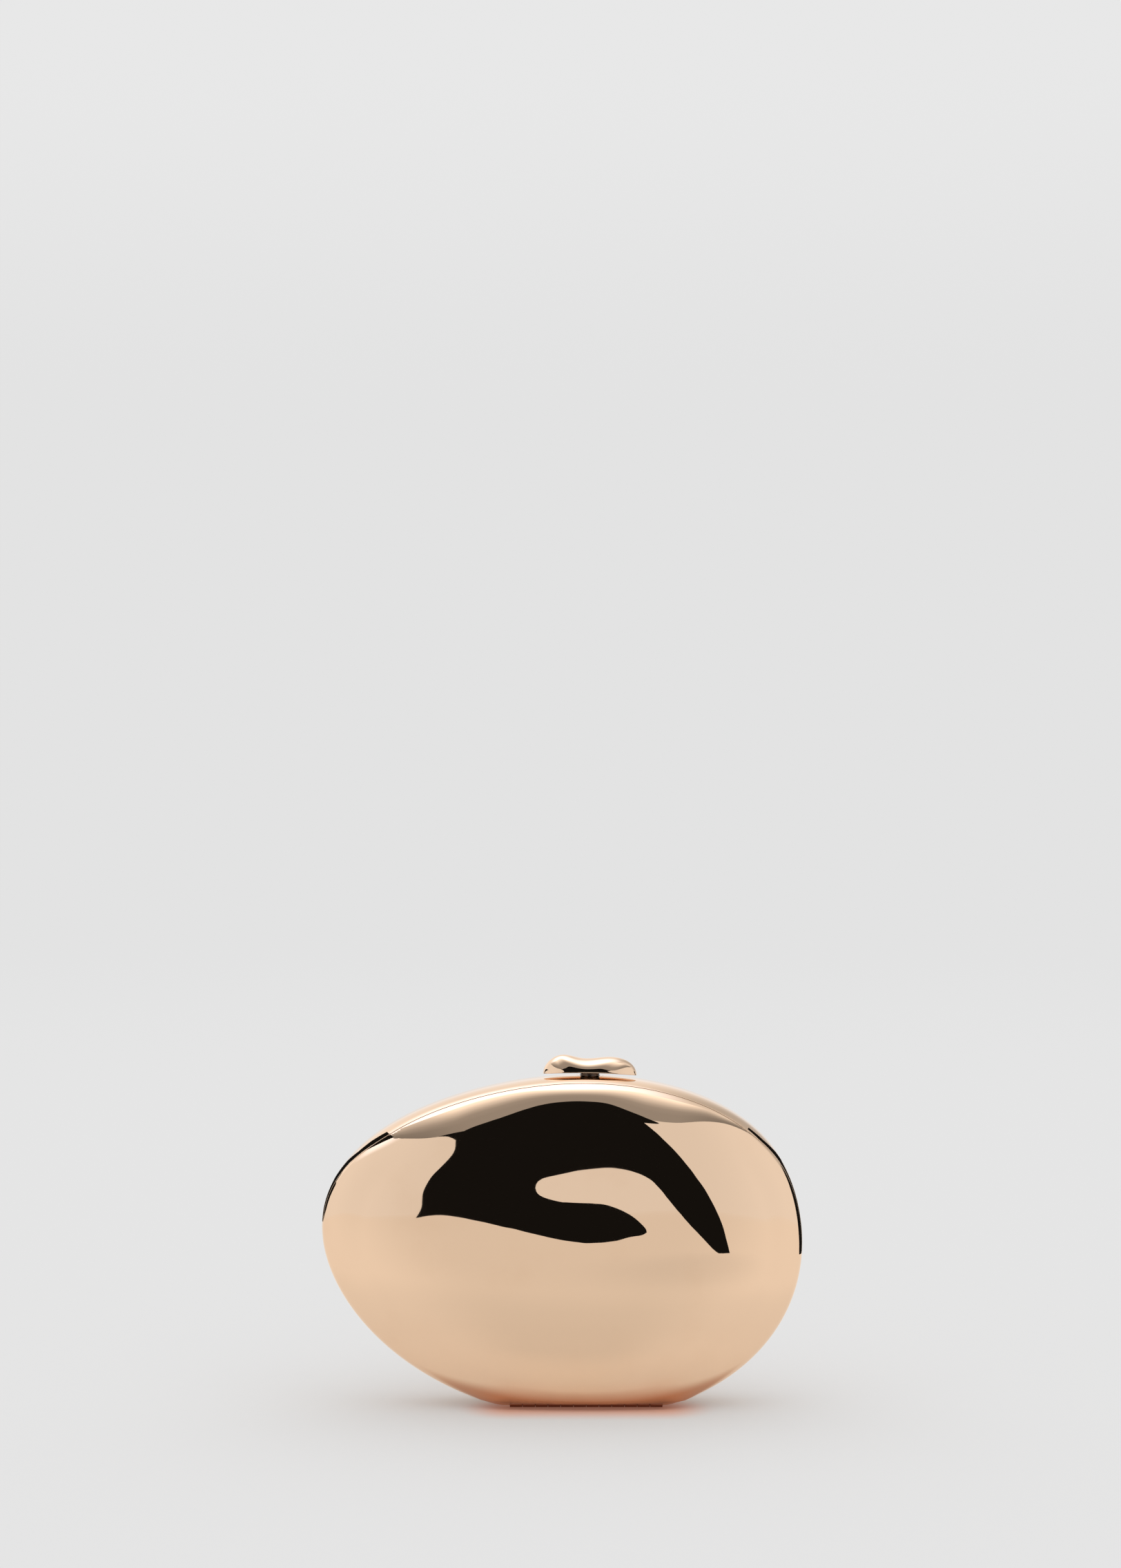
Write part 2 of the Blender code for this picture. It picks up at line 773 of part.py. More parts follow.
# Latch bar: it hangs under the stem's shoulder and hooks the lip with its tooth.
latch_bar = add_mesh("latch_bar", box_mesh(
    (knob_x - bar_half_width, tooth_front_y, bar_bottom),
    (knob_x + bar_half_width, bracket_back_y - seat_gap, bar_top),
), parts, steel)
join(latch_bar, "latch_tooth", box_mesh(
    (knob_x - bar_half_width, tooth_front_y, bar_bottom + bar_sheet / 2.0),
    (knob_x + bar_half_width, tooth_back_y, tooth_top),
))
cut(latch_bar, "bar_tail_hole", rod_mesh(
    tail_radius + stem_clearance, (knob_x, clasp_y, bar_bottom - overrun),
    (knob_x, clasp_y, bar_top + overrun), "Z", small_round_steps,
))

stem_clip = turned_piece("stem_clip", [
    (clip_bore_radius, clip_top),
    (clip_radius, clip_top),
    (clip_radius, clip_bottom),
    (clip_bore_radius, clip_bottom),
], steel, (knob_x, clasp_y, 0.0))


# Return spring between the bracket's floor and the bar.
def spring_points():
    low = bracket_floor_top + seat_gap + spring_wire_radius
    high = bar_bottom - seat_gap - spring_wire_radius
    count = spring_turns * coil_points
    points = []
    for index in range(count + 1):
        angle = math.tau * index / coil_points
        height = low + (high - low) * index / count
        points.append((
            knob_x + spring_mean_radius * math.cos(angle),
            clasp_y + spring_mean_radius * math.sin(angle),
            height,
        ))
    return points


def coil(name, points, wire_radius, material):
    """A round wire along a run of points, as a closed mesh."""
    curve = bpy.data.curves.new(name + "_path", "CURVE")
    curve.dimensions = "3D"
    spline = curve.splines.new("POLY")
    spline.points.add(len(points) - 1)
    for point, place in zip(spline.points, points):
        point.co = (*place, 1.0)
    curve.bevel_depth = wire_radius
    curve.bevel_resolution = 1
    curve.use_fill_caps = True
    path = bpy.data.objects.new(name + "_path", curve)
    cutters.objects.link(path)
    bpy.context.view_layer.update()
    graph = bpy.context.evaluated_depsgraph_get()
    mesh = bpy.data.meshes.new_from_object(path.evaluated_get(graph))
    bm = bmesh.new()
    bm.from_mesh(mesh)
    bmesh.ops.remove_doubles(bm, verts=bm.verts, dist=weld_distance)
    bpy.data.objects.remove(path)
    return add_mesh(name, bm, parts, material)


coil_run = spring_points()
return_spring = coil("return_spring", coil_run, spring_wire_radius, spring_steel)
coil_pitch = coil_run[coil_points][2] - coil_run[0][2]
print("spring gap between turns, mm:", (coil_pitch - 2.0 * spring_wire_radius) / MM)

# The rear lining opens round the latch bracket, from its edge back.
notch_half_width = wing_outer + seat_gap
cut(rear_lining, "lining_notch", box_mesh(
    (knob_x - notch_half_width, rear_ring_back_y - overrun, bracket_top - half_depth),
    (knob_x + notch_half_width, bracket_back_y + seat_gap, crest_height + overrun),
))

# The moving pieces turn and slide about these points.
hinge_axis = bpy.data.objects.new("front_hinge_axis", None)
hinge_axis.location = (foot_x, seam_y, barrel_height)
press_axis = bpy.data.objects.new("knob_press_axis", None)
press_axis.location = (knob_x, clasp_y, crest_height)
bpy.context.view_layer.update()
for axis, prefixes in (
    (hinge_axis, ("front_", "hinge_leaf_front", "hinge_rivet_front", "striker")),
    (press_axis, ("clasp_knob", "knob_stem", "latch_bar", "stem_clip")),
):
    parts.objects.link(axis)
    bpy.context.view_layer.update()
    for piece in list(parts.objects):
        if piece.type == "MESH" and piece.name.startswith(prefixes):
            piece.parent = axis
            piece.matrix_parent_inverse = axis.matrix_world.inverted()
bpy.context.view_layer.update()
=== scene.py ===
"""Looks of a rigid oval evening clutch of mirror-polished rose gold metal."""

import json
import math
from contextlib import contextmanager

import bpy
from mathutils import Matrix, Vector
from mathutils.geometry import tessellate_polygon
from mathutils.interpolate import poly_3d_calc


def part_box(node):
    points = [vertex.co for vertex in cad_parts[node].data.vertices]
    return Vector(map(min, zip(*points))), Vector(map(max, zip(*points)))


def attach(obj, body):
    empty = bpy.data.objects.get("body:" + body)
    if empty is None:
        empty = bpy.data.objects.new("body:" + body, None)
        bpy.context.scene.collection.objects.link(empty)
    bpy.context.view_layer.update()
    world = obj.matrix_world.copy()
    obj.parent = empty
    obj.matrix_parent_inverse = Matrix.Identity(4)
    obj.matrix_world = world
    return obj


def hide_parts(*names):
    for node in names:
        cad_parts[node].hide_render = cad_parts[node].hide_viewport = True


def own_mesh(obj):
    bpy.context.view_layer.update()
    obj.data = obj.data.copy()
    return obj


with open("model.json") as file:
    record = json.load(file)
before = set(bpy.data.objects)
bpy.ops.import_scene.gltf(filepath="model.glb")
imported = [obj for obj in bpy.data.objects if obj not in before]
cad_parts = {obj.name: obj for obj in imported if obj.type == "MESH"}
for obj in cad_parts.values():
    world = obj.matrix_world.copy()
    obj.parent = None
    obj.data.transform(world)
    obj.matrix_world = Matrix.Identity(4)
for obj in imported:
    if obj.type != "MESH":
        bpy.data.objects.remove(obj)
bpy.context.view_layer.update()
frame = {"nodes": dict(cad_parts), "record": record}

MM = 0.001

# Sizes of the bag
half_width = 85.0 * MM
half_height = 60.8 * MM
foot_cut = 4.2 * MM
square_share = 0.058
egg_share = 0.036
skew_share = 0.043
sag_share = 0.211
lean_share = 0.023
twist_share = 0.033
front_depth = 13.75 * MM
rear_depth = 36.25 * MM
dome_centre_rise = 1.9 * MM
rim_power = 3.4
end_fullness = 0.74
end_start = 0.72
low_fullness = 0.28
low_end_fullness = 0.5
low_side_run = (0.02, 0.26)
# Where the skin lies a little further in: a place and a run in degrees round it, and a share.
shoulder_pulls = (
    (112.0, 24.0, 0.0115), (155.0, 25.0, 0.0095), (62.0, 34.0, 0.0085), (8.0, 28.0, 0.005))
fullness_start_y = -17.5 * MM
flat_power = 2.0
wall = 0.9 * MM
cad_wall = 1.2 * MM
parting_gap = 0.2 * MM
seat_gap = 0.3 * MM
fit_gap = 0.4 * MM
front_floor = 2.4 * MM
foot_blend = 0.8 * MM
foot_step_run = 2.0 * MM
ring_depth = 2.4 * MM
ring_width = 2.0 * MM
clasp_setback = 8.7 * MM
overrun = 2.0 * MM
rim_round = 0.13 * MM
ring_round = 0.15 * MM
card_thickness = 0.58 * MM
lining_round = 0.18 * MM

# Sizes of the piano hinge
knuckle_count = 12
knuckle_pitch = 4.5 * MM
knuckle_gap = 0.14 * MM
barrel_radius = 1.6 * MM
barrel_clearance = 0.35 * MM
knuckle_radius = 1.3 * MM
bore_radius = 0.9 * MM
hinge_flat_run = (24.0 * MM, 42.0 * MM)
hinge_flat_height = (4.0 * MM, 14.0 * MM)
hinge_flat_drop = 1.3 * MM
edge_relief_radius = 1.1 * MM
edge_relief_run = 5.0 * MM
hinge_pin_radius = 0.75 * MM
leaf_thickness = 0.8 * MM
leaf_round = 0.05 * MM

# Sizes of the knob, its post and its bush
knob_x = 9.9 * MM
knob_half_length = 16.7 * MM
knob_half_depth = 6.0 * MM
knob_height = 5.85 * MM
knob_dip = 1.2 * MM
knob_dip_place_share = -0.08
knob_dip_width_share = 0.28
knob_hump = 0.9 * MM
knob_hump_place_share = -0.62
knob_hump_width_share = 0.22
knob_skirt = 0.45 * MM
knob_foot_power = 0.4
knob_plan_power = 2.6
knob_swell_power = 4.6
knob_side_power = 1.0
knob_rise_power = 1.35
knob_gap = 1.27 * MM
post_radius = 3.4 * MM
post_gap = 0.1 * MM
tenon_radius = 2.0 * MM
tenon_height = 2.2 * MM
knob_bore_depth = 8.0 * MM
bush_stand = -0.01 * MM
bush_gap = 0.02 * MM
crown_block_height = 6.0 * MM

# Sizes of the latch and its spring
bracket_round = 0.18 * MM
plate_round = 0.15 * MM
turned_round = 0.1 * MM
clip_round = 0.06 * MM
wire_radius = 0.35 * MM
spring_turns = 3

# How finely round shapes are divided
outline_steps = 1280
skin_sides = 256
skin_rings = 128
ring_sides = 256
drill_sides = 72
relief_sides = 32
knob_sides = 96
knob_rings = 64
knuckle_sides = 40
pin_sides = 32
crown_block_steps = 28
wire_sides = 16
coil_steps = 48
search_steps = 40
shell_segments = 3
normal_step = 0.0001

# Places that follow from the sizes
half_depth = (front_depth + rear_depth) / 2.0
outline_middle_height = half_height - foot_cut
dome_centre_height = outline_middle_height + dome_centre_rise
seam_y = front_depth - half_depth
front_edge_y = seam_y - parting_gap / 2.0
rear_edge_y = seam_y + parting_gap / 2.0
front_ring_back_y = front_edge_y - ring_depth
rear_ring_back_y = rear_edge_y + ring_depth
front_lining_y = front_ring_back_y - seat_gap
rear_lining_y = rear_ring_back_y + seat_gap
clasp_y = rear_ring_back_y + clasp_setback
step_front_y = rear_lining_y + cad_wall
step_back_y = step_front_y + foot_step_run
ring_inset = cad_wall + fit_gap

# The outline and the skin


def outline(turn):
    """A point of the bag's egg-shaped outline, as seen from the front."""
    across = (1.0 + square_share) * math.cos(turn) - square_share * math.cos(3.0 * turn)
    across += egg_share * math.sin(turn) ** 2 - skew_share * math.sin(2.0 * turn)
    up = (1.0 - square_share) * math.sin(turn) - square_share * math.sin(3.0 * turn)
    up += sag_share * math.cos(turn) ** 2 - lean_share * math.cos(turn)
    up += twist_share * math.sin(2.0 * turn)
    return half_width * across, outline_middle_height + half_height * up


outline_samples = [outline(math.tau * step / outline_steps) for step in range(outline_steps)]
outline_xs = [x for x, _ in outline_samples]
outline_shift = -(min(outline_xs) + max(outline_xs)) / 2.0
foot_x = outline_shift + min(outline_samples, key=lambda place: place[1])[0]


def foot_level(y):
    """Height of the bag's underside at a depth: the front shell ends higher, over the hinge."""
    if y <= step_front_y:
        return front_floor
    if y >= step_back_y:
        return 0.0
    return front_floor * (step_back_y - y) / foot_step_run


def soft_floor(height, level):
    """Flatten a height onto a level floor, with a soft corner."""
    rise = height - level
    if rise >= foot_blend:
        return height
    if rise <= -foot_blend:
        return level
    return level + (rise + foot_blend) ** 2 / (4.0 * foot_blend)


def eased(value, low, high):
    """0 at low, 1 at high, with a soft run between them."""
    run = max(0.0, min(1.0, (value - low) / (high - low)))
    return run * run * (3.0 - 2.0 * run)


def fuller(turn, y, share):
    """The bag's ends and lower sides stand out further along the seam than its crown does."""
    if y >= 0.0:
        return share
    across = abs(math.cos(turn))
    fullness = max(
        end_fullness * eased(across, end_start, 1.0),
        (low_fullness + low_end_fullness * across * across)
        * eased(-math.sin(turn), *low_side_run))
    return share + (1.0 - share) * fullness * eased(y, fullness_start_y, seam_y)


def hinge_drop(across, height, y):
    """How much lower the skin lies beside the hinge, so that its edge there is straight."""
    drop = hinge_flat_drop * (1.0 - eased(abs(across), *hinge_flat_run))
    drop *= 1.0 - eased(height, *hinge_flat_height)
    drop *= eased(y, fullness_start_y, seam_y)
    return drop * (1.0 - eased(y, rear_ring_back_y, step_back_y))


def skin_share(y, inset):
    """How far out the skin stands at a depth, as a share of the outline."""
    return (1.0 - (abs(y) / (half_depth - inset)) ** rim_power) ** (1.0 / flat_power)


def skin_point(turn, y, share, inset, inward=0.0):
    """A point of the skin, or of a surface that lies inside it by an inset."""
    x, z = outline(turn)
    arm_x = x + outline_shift - foot_x
    arm_z = z - dome_centre_height
    arm = math.hypot(arm_x, arm_z)
    share = fuller(turn, y, share)
    for middle, run, pull in shoulder_pulls:
        off_middle = math.remainder(math.degrees(turn) - middle, 360.0) / run
        share *= 1.0 - pull * math.exp(-off_middle * off_middle)
    reach = (share * (arm - inset) - inward) / arm
    height = dome_centre_height + arm_z * reach
    height -= hinge_drop(arm_x * reach, height, y)
    level = foot_level(y) + inset + inward
    return Vector((foot_x + arm_x * reach, y, soft_floor(height, level)))


def outer_skin(turn, y):
    return skin_point(turn, y, skin_share(y, 0.0), 0.0)


def last_place(start, end, holds):
    """The last place on the way from start to end where something still holds."""
    for _ in range(search_steps):
        middle = (start + end) / 2.0
        if holds(middle):
            start = middle
        else:
            end = middle
    return start


crown_turns = (math.radians(20.0), math.radians(160.0))


def crown_height(x, y):
    """Height of the crown's outer skin over a place."""
    return outer_skin(last_place(*crown_turns, lambda turn: outer_skin(turn, y).x > x), y).z


# The hinge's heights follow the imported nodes.
leaf_low, leaf_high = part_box("hinge_leaf_rear")
hinge_length = knuckle_count * knuckle_pitch
hinge_low_x = foot_x - hinge_length / 2.0
hinge_high_x = foot_x + hinge_length / 2.0
barrel_height = leaf_low.z + barrel_radius
slot_half_depth = barrel_radius + barrel_clearance
slot_top = barrel_height + slot_half_depth
leaf_top = leaf_high.z
ring_floor = leaf_top + 2.0 * seat_gap


def mouth_point(turn, y):
    """A point of the rim rings' inner side, which is the same for both halves."""
    share = skin_share(front_ring_back_y, ring_inset)
    point = skin_point(turn, y, share, ring_inset, ring_width)
    point.z = max(point.z, ring_floor)
    return point


# Camera
image_width = 1624.0
image_height = 2272.0
focal_pixels = 4423.0
camera_x = -0.6 * MM
camera_y = -1089.8 * MM
camera_height = 220.8 * MM

camera_data = bpy.data.cameras.new("camera")
camera_data.sensor_width = 36.0
camera_data.lens = camera_data.sensor_width * focal_pixels / image_height
camera_data.clip_start = 0.02
camera_data.clip_end = 60.0
camera = bpy.data.objects.new("camera", camera_data)
bpy.context.scene.collection.objects.link(camera)
camera.location = (camera_x, camera_y, camera_height)
camera.rotation_euler = (math.pi / 2.0, 0.0, 0.0)
bpy.context.scene.camera = camera
bpy.context.scene.view_settings.view_transform = "Standard"


def camera_ray(pixel):
    """The way from the camera through a pixel of the picture."""
    across, down = pixel
    return Vector((
        (across - image_width / 2.0) / focal_pixels, 1.0,
        (image_height / 2.0 - down) / focal_pixels,
    )).normalized()


# Shader sums


class Value:
    """A shader socket that does sums: each operator adds the node that works it out."""

    def __init__(self, finish, socket):
        self.finish = finish
        self.socket = socket

    def math(self, operation, *numbers):
        return self.finish.node(
            "ShaderNodeMath", {"operation": operation}, dict(enumerate(numbers)))

    def __add__(self, other):
        return self.math("ADD", self, other)

    def __radd__(self, other):
        return self.math("ADD", other, self)

    def __sub__(self, other):
        return self.math("SUBTRACT", self, other)

    def __rsub__(self, other):
        return self.math("SUBTRACT", other, self)

    def __mul__(self, other):
        return self.math("MULTIPLY", self, other)

    def __rmul__(self, other):
        return self.math("MULTIPLY", other, self)

    def __truediv__(self, other):
        return self.math("DIVIDE", self, other)

    def __pow__(self, other):
        return self.math("POWER", self, other)

    def absolute(self):
        return self.math("ABSOLUTE", self)

    def at_least(self, low):
        return self.math("MAXIMUM", self, low)

    def smooth(self, low, high):
        """0 below low, 1 above high, with a soft run between them."""
        return self.finish.node(
            "ShaderNodeMapRange", {"interpolation_type": "SMOOTHSTEP"},
            {"Value": self, "From Min": low, "From Max": high})


class Finish:
    """The node tree of a material or the world."""

    def __init__(self, owner):
        owner.use_nodes = True
        self.tree = owner.node_tree
        self.tree.nodes.clear()

    def node(self, kind, settings=None, inputs=None, output=0):
        """Adds a node, with its settings first and then its sockets' values or links."""
        made = self.tree.nodes.new(kind)
        for name, setting in (settings or {}).items():
            if name == "stops":
                ramp = made.color_ramp
                while len(ramp.elements) < len(setting):
                    ramp.elements.new(1.0)
                for element, (place, level) in zip(ramp.elements, setting):
                    element.position = place
                    element.color = grey(level)
            else:
                setattr(made, name, setting)
        for name, value in (inputs or {}).items():
            if isinstance(value, Value):
                self.tree.links.new(value.socket, made.inputs[name])
            else:
                made.inputs[name].default_value = value
        return Value(self, made.outputs[output]) if made.outputs else None

    def separate(self, place, axis):
        return self.node("ShaderNodeSeparateXYZ", None, {"Vector": place}, axis)

    def noise(self, place, scale, detail, roughness):
        return self.node(
            "ShaderNodeTexNoise", None,
            {"Vector": place, "Scale": scale, "Detail": detail, "Roughness": roughness})

    def mix_colour(self, share, first, second):
        return self.node(
            "ShaderNodeMix", {"data_type": "RGBA"},
            {"Factor": share, 6: first, 7: second}, output=2)

    def stretched(self, place, scale):
        return self.node(
            "ShaderNodeMapping", {"vector_type": "POINT"}, {"Vector": place, "Scale": scale})

    def bump(self, height, strength, distance):
        return self.node(
            "ShaderNodeBump", None,
            {"Height": height, "Strength": strength, "Distance": distance})


def rgba(colour):
    return (*colour, 1.0)


def grey(level):
    return (level, level, level, 1.0)


# Metals. A noise is given as its scale, its detail and its roughness.
smear_noise = (38.0, 4.0, 0.55)
smear_run = (0.42, 0.72)
deep_run = (0.5, 0.8)
deep_share = 0.5
speck_noise = (900.0, 2.0, 0.6)
speck_run = (0.62, 0.8)
speck_share = 0.5
brush_noise = (60.0, 3.0, 0.7)
brush_height_share = 0.6
brush_gloss_share = 1.5
ripple_detail = 1.0
ripple_roughness = 0.4
ripple_height = 1.0 * MM


def metal(name, colour, deep_colour, polish, smear, ripple, ripple_size, brushing=None):
    """A metal with polishing smears in its gloss and a faint unevenness in its surface."""
    material = bpy.data.materials.new(name)
    finish = Finish(material)
    place = finish.node("ShaderNodeTexCoord", None, None, "Object")
    smears = finish.noise(place, *smear_noise)
    specks = finish.noise(place, *speck_noise)
    height = finish.noise(place, 1.0 / ripple_size, ripple_detail, ripple_roughness)
    gloss = smears.smooth(*smear_run) * smear
    gloss = gloss + specks.smooth(*speck_run) * (smear * speck_share)
    if brushing:
        lines = finish.noise(finish.stretched(place, brushing), *brush_noise)
        height = height + lines * brush_height_share
        gloss = gloss + lines * (smear * brush_gloss_share)
    shader = finish.node("ShaderNodeBsdfPrincipled", None, {
        "Base Color": finish.mix_colour(
            smears.smooth(*deep_run) * deep_share, rgba(colour), rgba(deep_colour)),
        "Metallic": 1.0,
        "Roughness": gloss + polish,
        "Normal": finish.bump(height, ripple, ripple_height),
    })
    finish.node("ShaderNodeOutputMaterial", None, {"Surface": shader})
    return material


leaf_brushing = (1.0, 30.0, 1.0)
turned_brushing = (1.0, 24.0, 24.0)
wire_brushing = (20.0, 20.0, 60.0)
polished_gold = metal(
    "polished_rose_gold", (0.871, 0.638, 0.456), (0.83, 0.59, 0.41),
    polish=0.008, smear=0.02, ripple=0.012, ripple_size=9.0 * MM)
satin_gold = metal(
    "satin_rose_gold", (0.80, 0.57, 0.41), (0.74, 0.51, 0.36),
    polish=0.2, smear=0.12, ripple=0.08, ripple_size=2.0 * MM, brushing=leaf_brushing)
# Hinge leaves and knuckles: rose gold darkened to brown, painted shade for the hinge's recess under
# the shells.
painted_shade_hinge_metal = metal(
    "hinge_metal_painted_shade", (0.34, 0.145, 0.09), (0.28, 0.115, 0.07),
    polish=0.22, smear=0.12, ripple=0.08, ripple_size=2.0 * MM, brushing=leaf_brushing)
# Knob post and hinge pin: steel darkened almost to black, painted shade under the knob and in the
# knuckle gaps.
painted_shade_steel = metal(
    "steel_painted_shade", (0.09, 0.07, 0.06), (0.06, 0.05, 0.045),
    polish=0.2, smear=0.12, ripple=0.05, ripple_size=2.0 * MM, brushing=turned_brushing)
bright_steel = metal(
    "bright_plated_steel", (0.62, 0.62, 0.63), (0.52, 0.52, 0.54),
    polish=0.18, smear=0.14, ripple=0.07, ripple_size=2.0 * MM, brushing=turned_brushing)
drawn_wire = metal(
    "drawn_spring_wire", (0.45, 0.46, 0.48), (0.36, 0.37, 0.39),
    polish=0.24, smear=0.14, ripple=0.06, ripple_size=1.0 * MM, brushing=wire_brushing)

# Lining cloth
thread_scale = 420.0
thread_waver = 1.2
thread_colour_share = 0.6
thread_height_share = 0.25
pucker_noise = (55.0, 3.0, 0.55)
pucker_stretch = (1.0, 0.5, 1.6)
pucker_run = (0.3, 0.75)
pucker_colour_share = 0.4
cloth_shade = (0.055, 0.034, 0.026)
cloth_light = (0.14, 0.092, 0.072)
cloth_roughness = 0.62
thread_gloss = 0.14
cloth_sheen = 0.35
cloth_relief = 0.35
cloth_height = 0.6 * MM


def lining_cloth():
    """Dark satin cloth: fine crossed threads, soft puckers and a dull sheen."""
    material = bpy.data.materials.new("dark_lining_cloth")
    finish = Finish(material)
    place = finish.node("ShaderNodeTexCoord", None, None, "Object")
    across, along = (
        finish.node(
            "ShaderNodeTexWave", {"wave_type": "BANDS", "bands_direction": axis},
            {"Vector": place, "Scale": thread_scale, "Distortion": thread_waver, "Detail": 1.0})
        for axis in ("X", "Z"))
    threads = across * along
    puckers = finish.noise(finish.stretched(place, pucker_stretch), *pucker_noise)
    lightness = threads * thread_colour_share + puckers.smooth(*pucker_run) * pucker_colour_share
    shader = finish.node("ShaderNodeBsdfPrincipled", None, {
        "Base Color": finish.mix_colour(lightness, rgba(cloth_shade), rgba(cloth_light)),
        "Roughness": cloth_roughness - threads * thread_gloss,
        "Sheen Weight": cloth_sheen,
        "Normal": finish.bump(
            threads * thread_height_share + puckers, cloth_relief, cloth_height),
    })
    finish.node("ShaderNodeOutputMaterial", None, {"Surface": shader})
    return material


lining_satin = lining_cloth()

# Modelling by hand


def deselect():
    bpy.ops.object.select_all(action="DESELECT")


def picked(piece):
    """Selects one piece alone and makes it the active one."""
    deselect()
    piece.select_set(True)
    bpy.context.view_layer.objects.active = piece


@contextmanager
def editing(piece):
    """Edit mode on one piece, with nothing selected in it."""
    picked(piece)
    bpy.ops.object.mode_set(mode="EDIT")
    bpy.ops.mesh.select_all(action="DESELECT")
    yield
    bpy.ops.object.mode_set(mode="OBJECT")


def placed(piece):
    """Puts a piece's place, turn and size into its mesh."""
    picked(piece)
    bpy.ops.object.transform_apply(location=True, rotation=True, scale=True)
    return piece


def modified(piece, kind, **settings):
    """Adds a modifier and applies it."""
    modifier = piece.modifiers.new(kind.lower(), kind)
    for name, value in settings.items():
        setattr(modifier, name, value)
    picked(piece)
    bpy.ops.object.modifier_apply(modifier=modifier.name)


def rounded(piece, width, segments=2, angle=50.0):
    """Rounds the edges that are sharper than an angle."""
    modified(
        piece, "BEVEL", width=width, segments=segments, limit_method="ANGLE",
        angle_limit=math.radians(angle), use_clamp_overlap=True, miter_outer="MITER_ARC")


merge_distance = 0.002 * MM


def cleaned(piece):
    """Merges doubles and turns the faces outwards."""
    with editing(piece):
        bpy.ops.mesh.select_all(action="SELECT")
        bpy.ops.mesh.remove_doubles(threshold=merge_distance)
        bpy.ops.mesh.normals_make_consistent(inside=False)


def block(low, high):
    """A block between two corners."""
    low, high = Vector(low), Vector(high)
    deselect()
    bpy.ops.mesh.primitive_cube_add(size=1.0, location=(low + high) / 2.0)
    bpy.context.object.scale = high - low
    return placed(bpy.context.object)


def hinge_rod(radius, low_x, high_x, sides, fill="NGON"):
    """A round rod along the hinge's axis."""
    deselect()
    bpy.ops.mesh.primitive_cylinder_add(
        vertices=sides, radius=radius, depth=high_x - low_x, end_fill_type=fill,
        location=((low_x + high_x) / 2.0, seam_y, barrel_height),
        rotation=(0.0, math.pi / 2.0, 0.0))
    return placed(bpy.context.object)


def take_out(piece, cutter):
    """Takes a cutter's shape out of a piece and removes the cutter."""
    modified(piece, "BOOLEAN", object=cutter, operation="DIFFERENCE", solver="EXACT")
    bpy.data.objects.remove(cutter)


def drill(piece, radius, low, high):
    """Takes an upright round hole out of a piece, round the knob's stem."""
    deselect()
    bpy.ops.mesh.primitive_cylinder_add(
        vertices=drill_sides, radius=radius, depth=high - low,
        location=(knob_x, clasp_y, (low + high) / 2.0))
    take_out(piece, placed(bpy.context.object))


def finished(piece, name, material, slot, body, *replaced, smooth=35.0):
    """Names a piece, shades it, dresses it and puts it on its body."""
    piece.name = name
    piece.data.name = name
    picked(piece)
    bpy.ops.object.shade_smooth_by_angle(angle=math.radians(smooth))
    piece.data.materials.clear()
    piece.data.materials.append(material)
    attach(piece, body)
    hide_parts(*replaced)
    return piece


def skin_dish(side, edge_y, inset):
    """A ball with its poles front and back, cut at the rim and drawn out to the bag's skin."""
    deselect()
    bpy.ops.mesh.primitive_uv_sphere_add(
        segments=skin_sides, ring_count=skin_rings, radius=1.0,
        rotation=(math.pi / 2.0, 0.0, 0.0))
    dish = placed(bpy.context.object)
    depth = half_depth - inset
    rim = -(abs(edge_y) / depth) ** (rim_power / 2.0)
    with editing(dish):
        bpy.ops.mesh.select_all(action="SELECT")
        bpy.ops.mesh.bisect(
            plane_co=(0.0, rim, 0.0), plane_no=(0.0, 1.0, 0.0),
            clear_outer=side < 0.0, clear_inner=side > 0.0)
    for vertex in dish.data.vertices:
        x, y, z = vertex.co
        place_y = math.copysign(abs(y) ** (2.0 / rim_power), y) * depth
        share = max(0.0, 1.0 - y * y) ** (1.0 / flat_power)
        vertex.co = skin_point(math.atan2(z, x), place_y, share, inset)
    cleaned(dish)
    return dish


# Shells
slot_low = Vector((hinge_low_x - barrel_clearance, seam_y - slot_half_depth, -overrun))
slot_high = Vector((
    hinge_high_x + barrel_clearance, seam_y + slot_half_depth, leaf_top + seat_gap))


def shell(side, edge_y):
    """One half's domed skin, with its rim rounded and the hinge's slot cut into its foot."""
    skin = skin_dish(side, edge_y, 0.0)
    modified(skin, "SOLIDIFY", thickness=wall, offset=-1.0, use_even_offset=True)
    rounded(skin, rim_round, shell_segments)
    take_out(skin, block(slot_low, slot_high))
    return skin


front_skin = shell(-1.0, front_edge_y)
# The front edge has room for the knuckles, past the hinge's left end too.
relief_length = foot_x - hinge_low_x + edge_relief_run
take_out(front_skin, hinge_rod(edge_relief_radius, foot_x - relief_length, foot_x, relief_sides))
finished(
    front_skin, "front_shell_skin", polished_gold, "polished_shell", "front_half", "front_shell")
rear_skin = shell(1.0, rear_edge_y)
bush_low, bush_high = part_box("stem_bush")
bush_radius = (bush_high.x - bush_low.x) / 2.0
drill(rear_skin, bush_radius + bush_gap, bush_low.z, bush_high.z + overrun)
finished(
    rear_skin, "rear_shell_skin", polished_gold, "polished_shell", "rear_half", "rear_shell")

# Knob


def bell(share, middle_share, width_share):
    """1 at a place along the knob, falling softly to 0 on both sides."""
    off_middle = (share - middle_share) / width_share
    return math.exp(-off_middle * off_middle / 2.0)


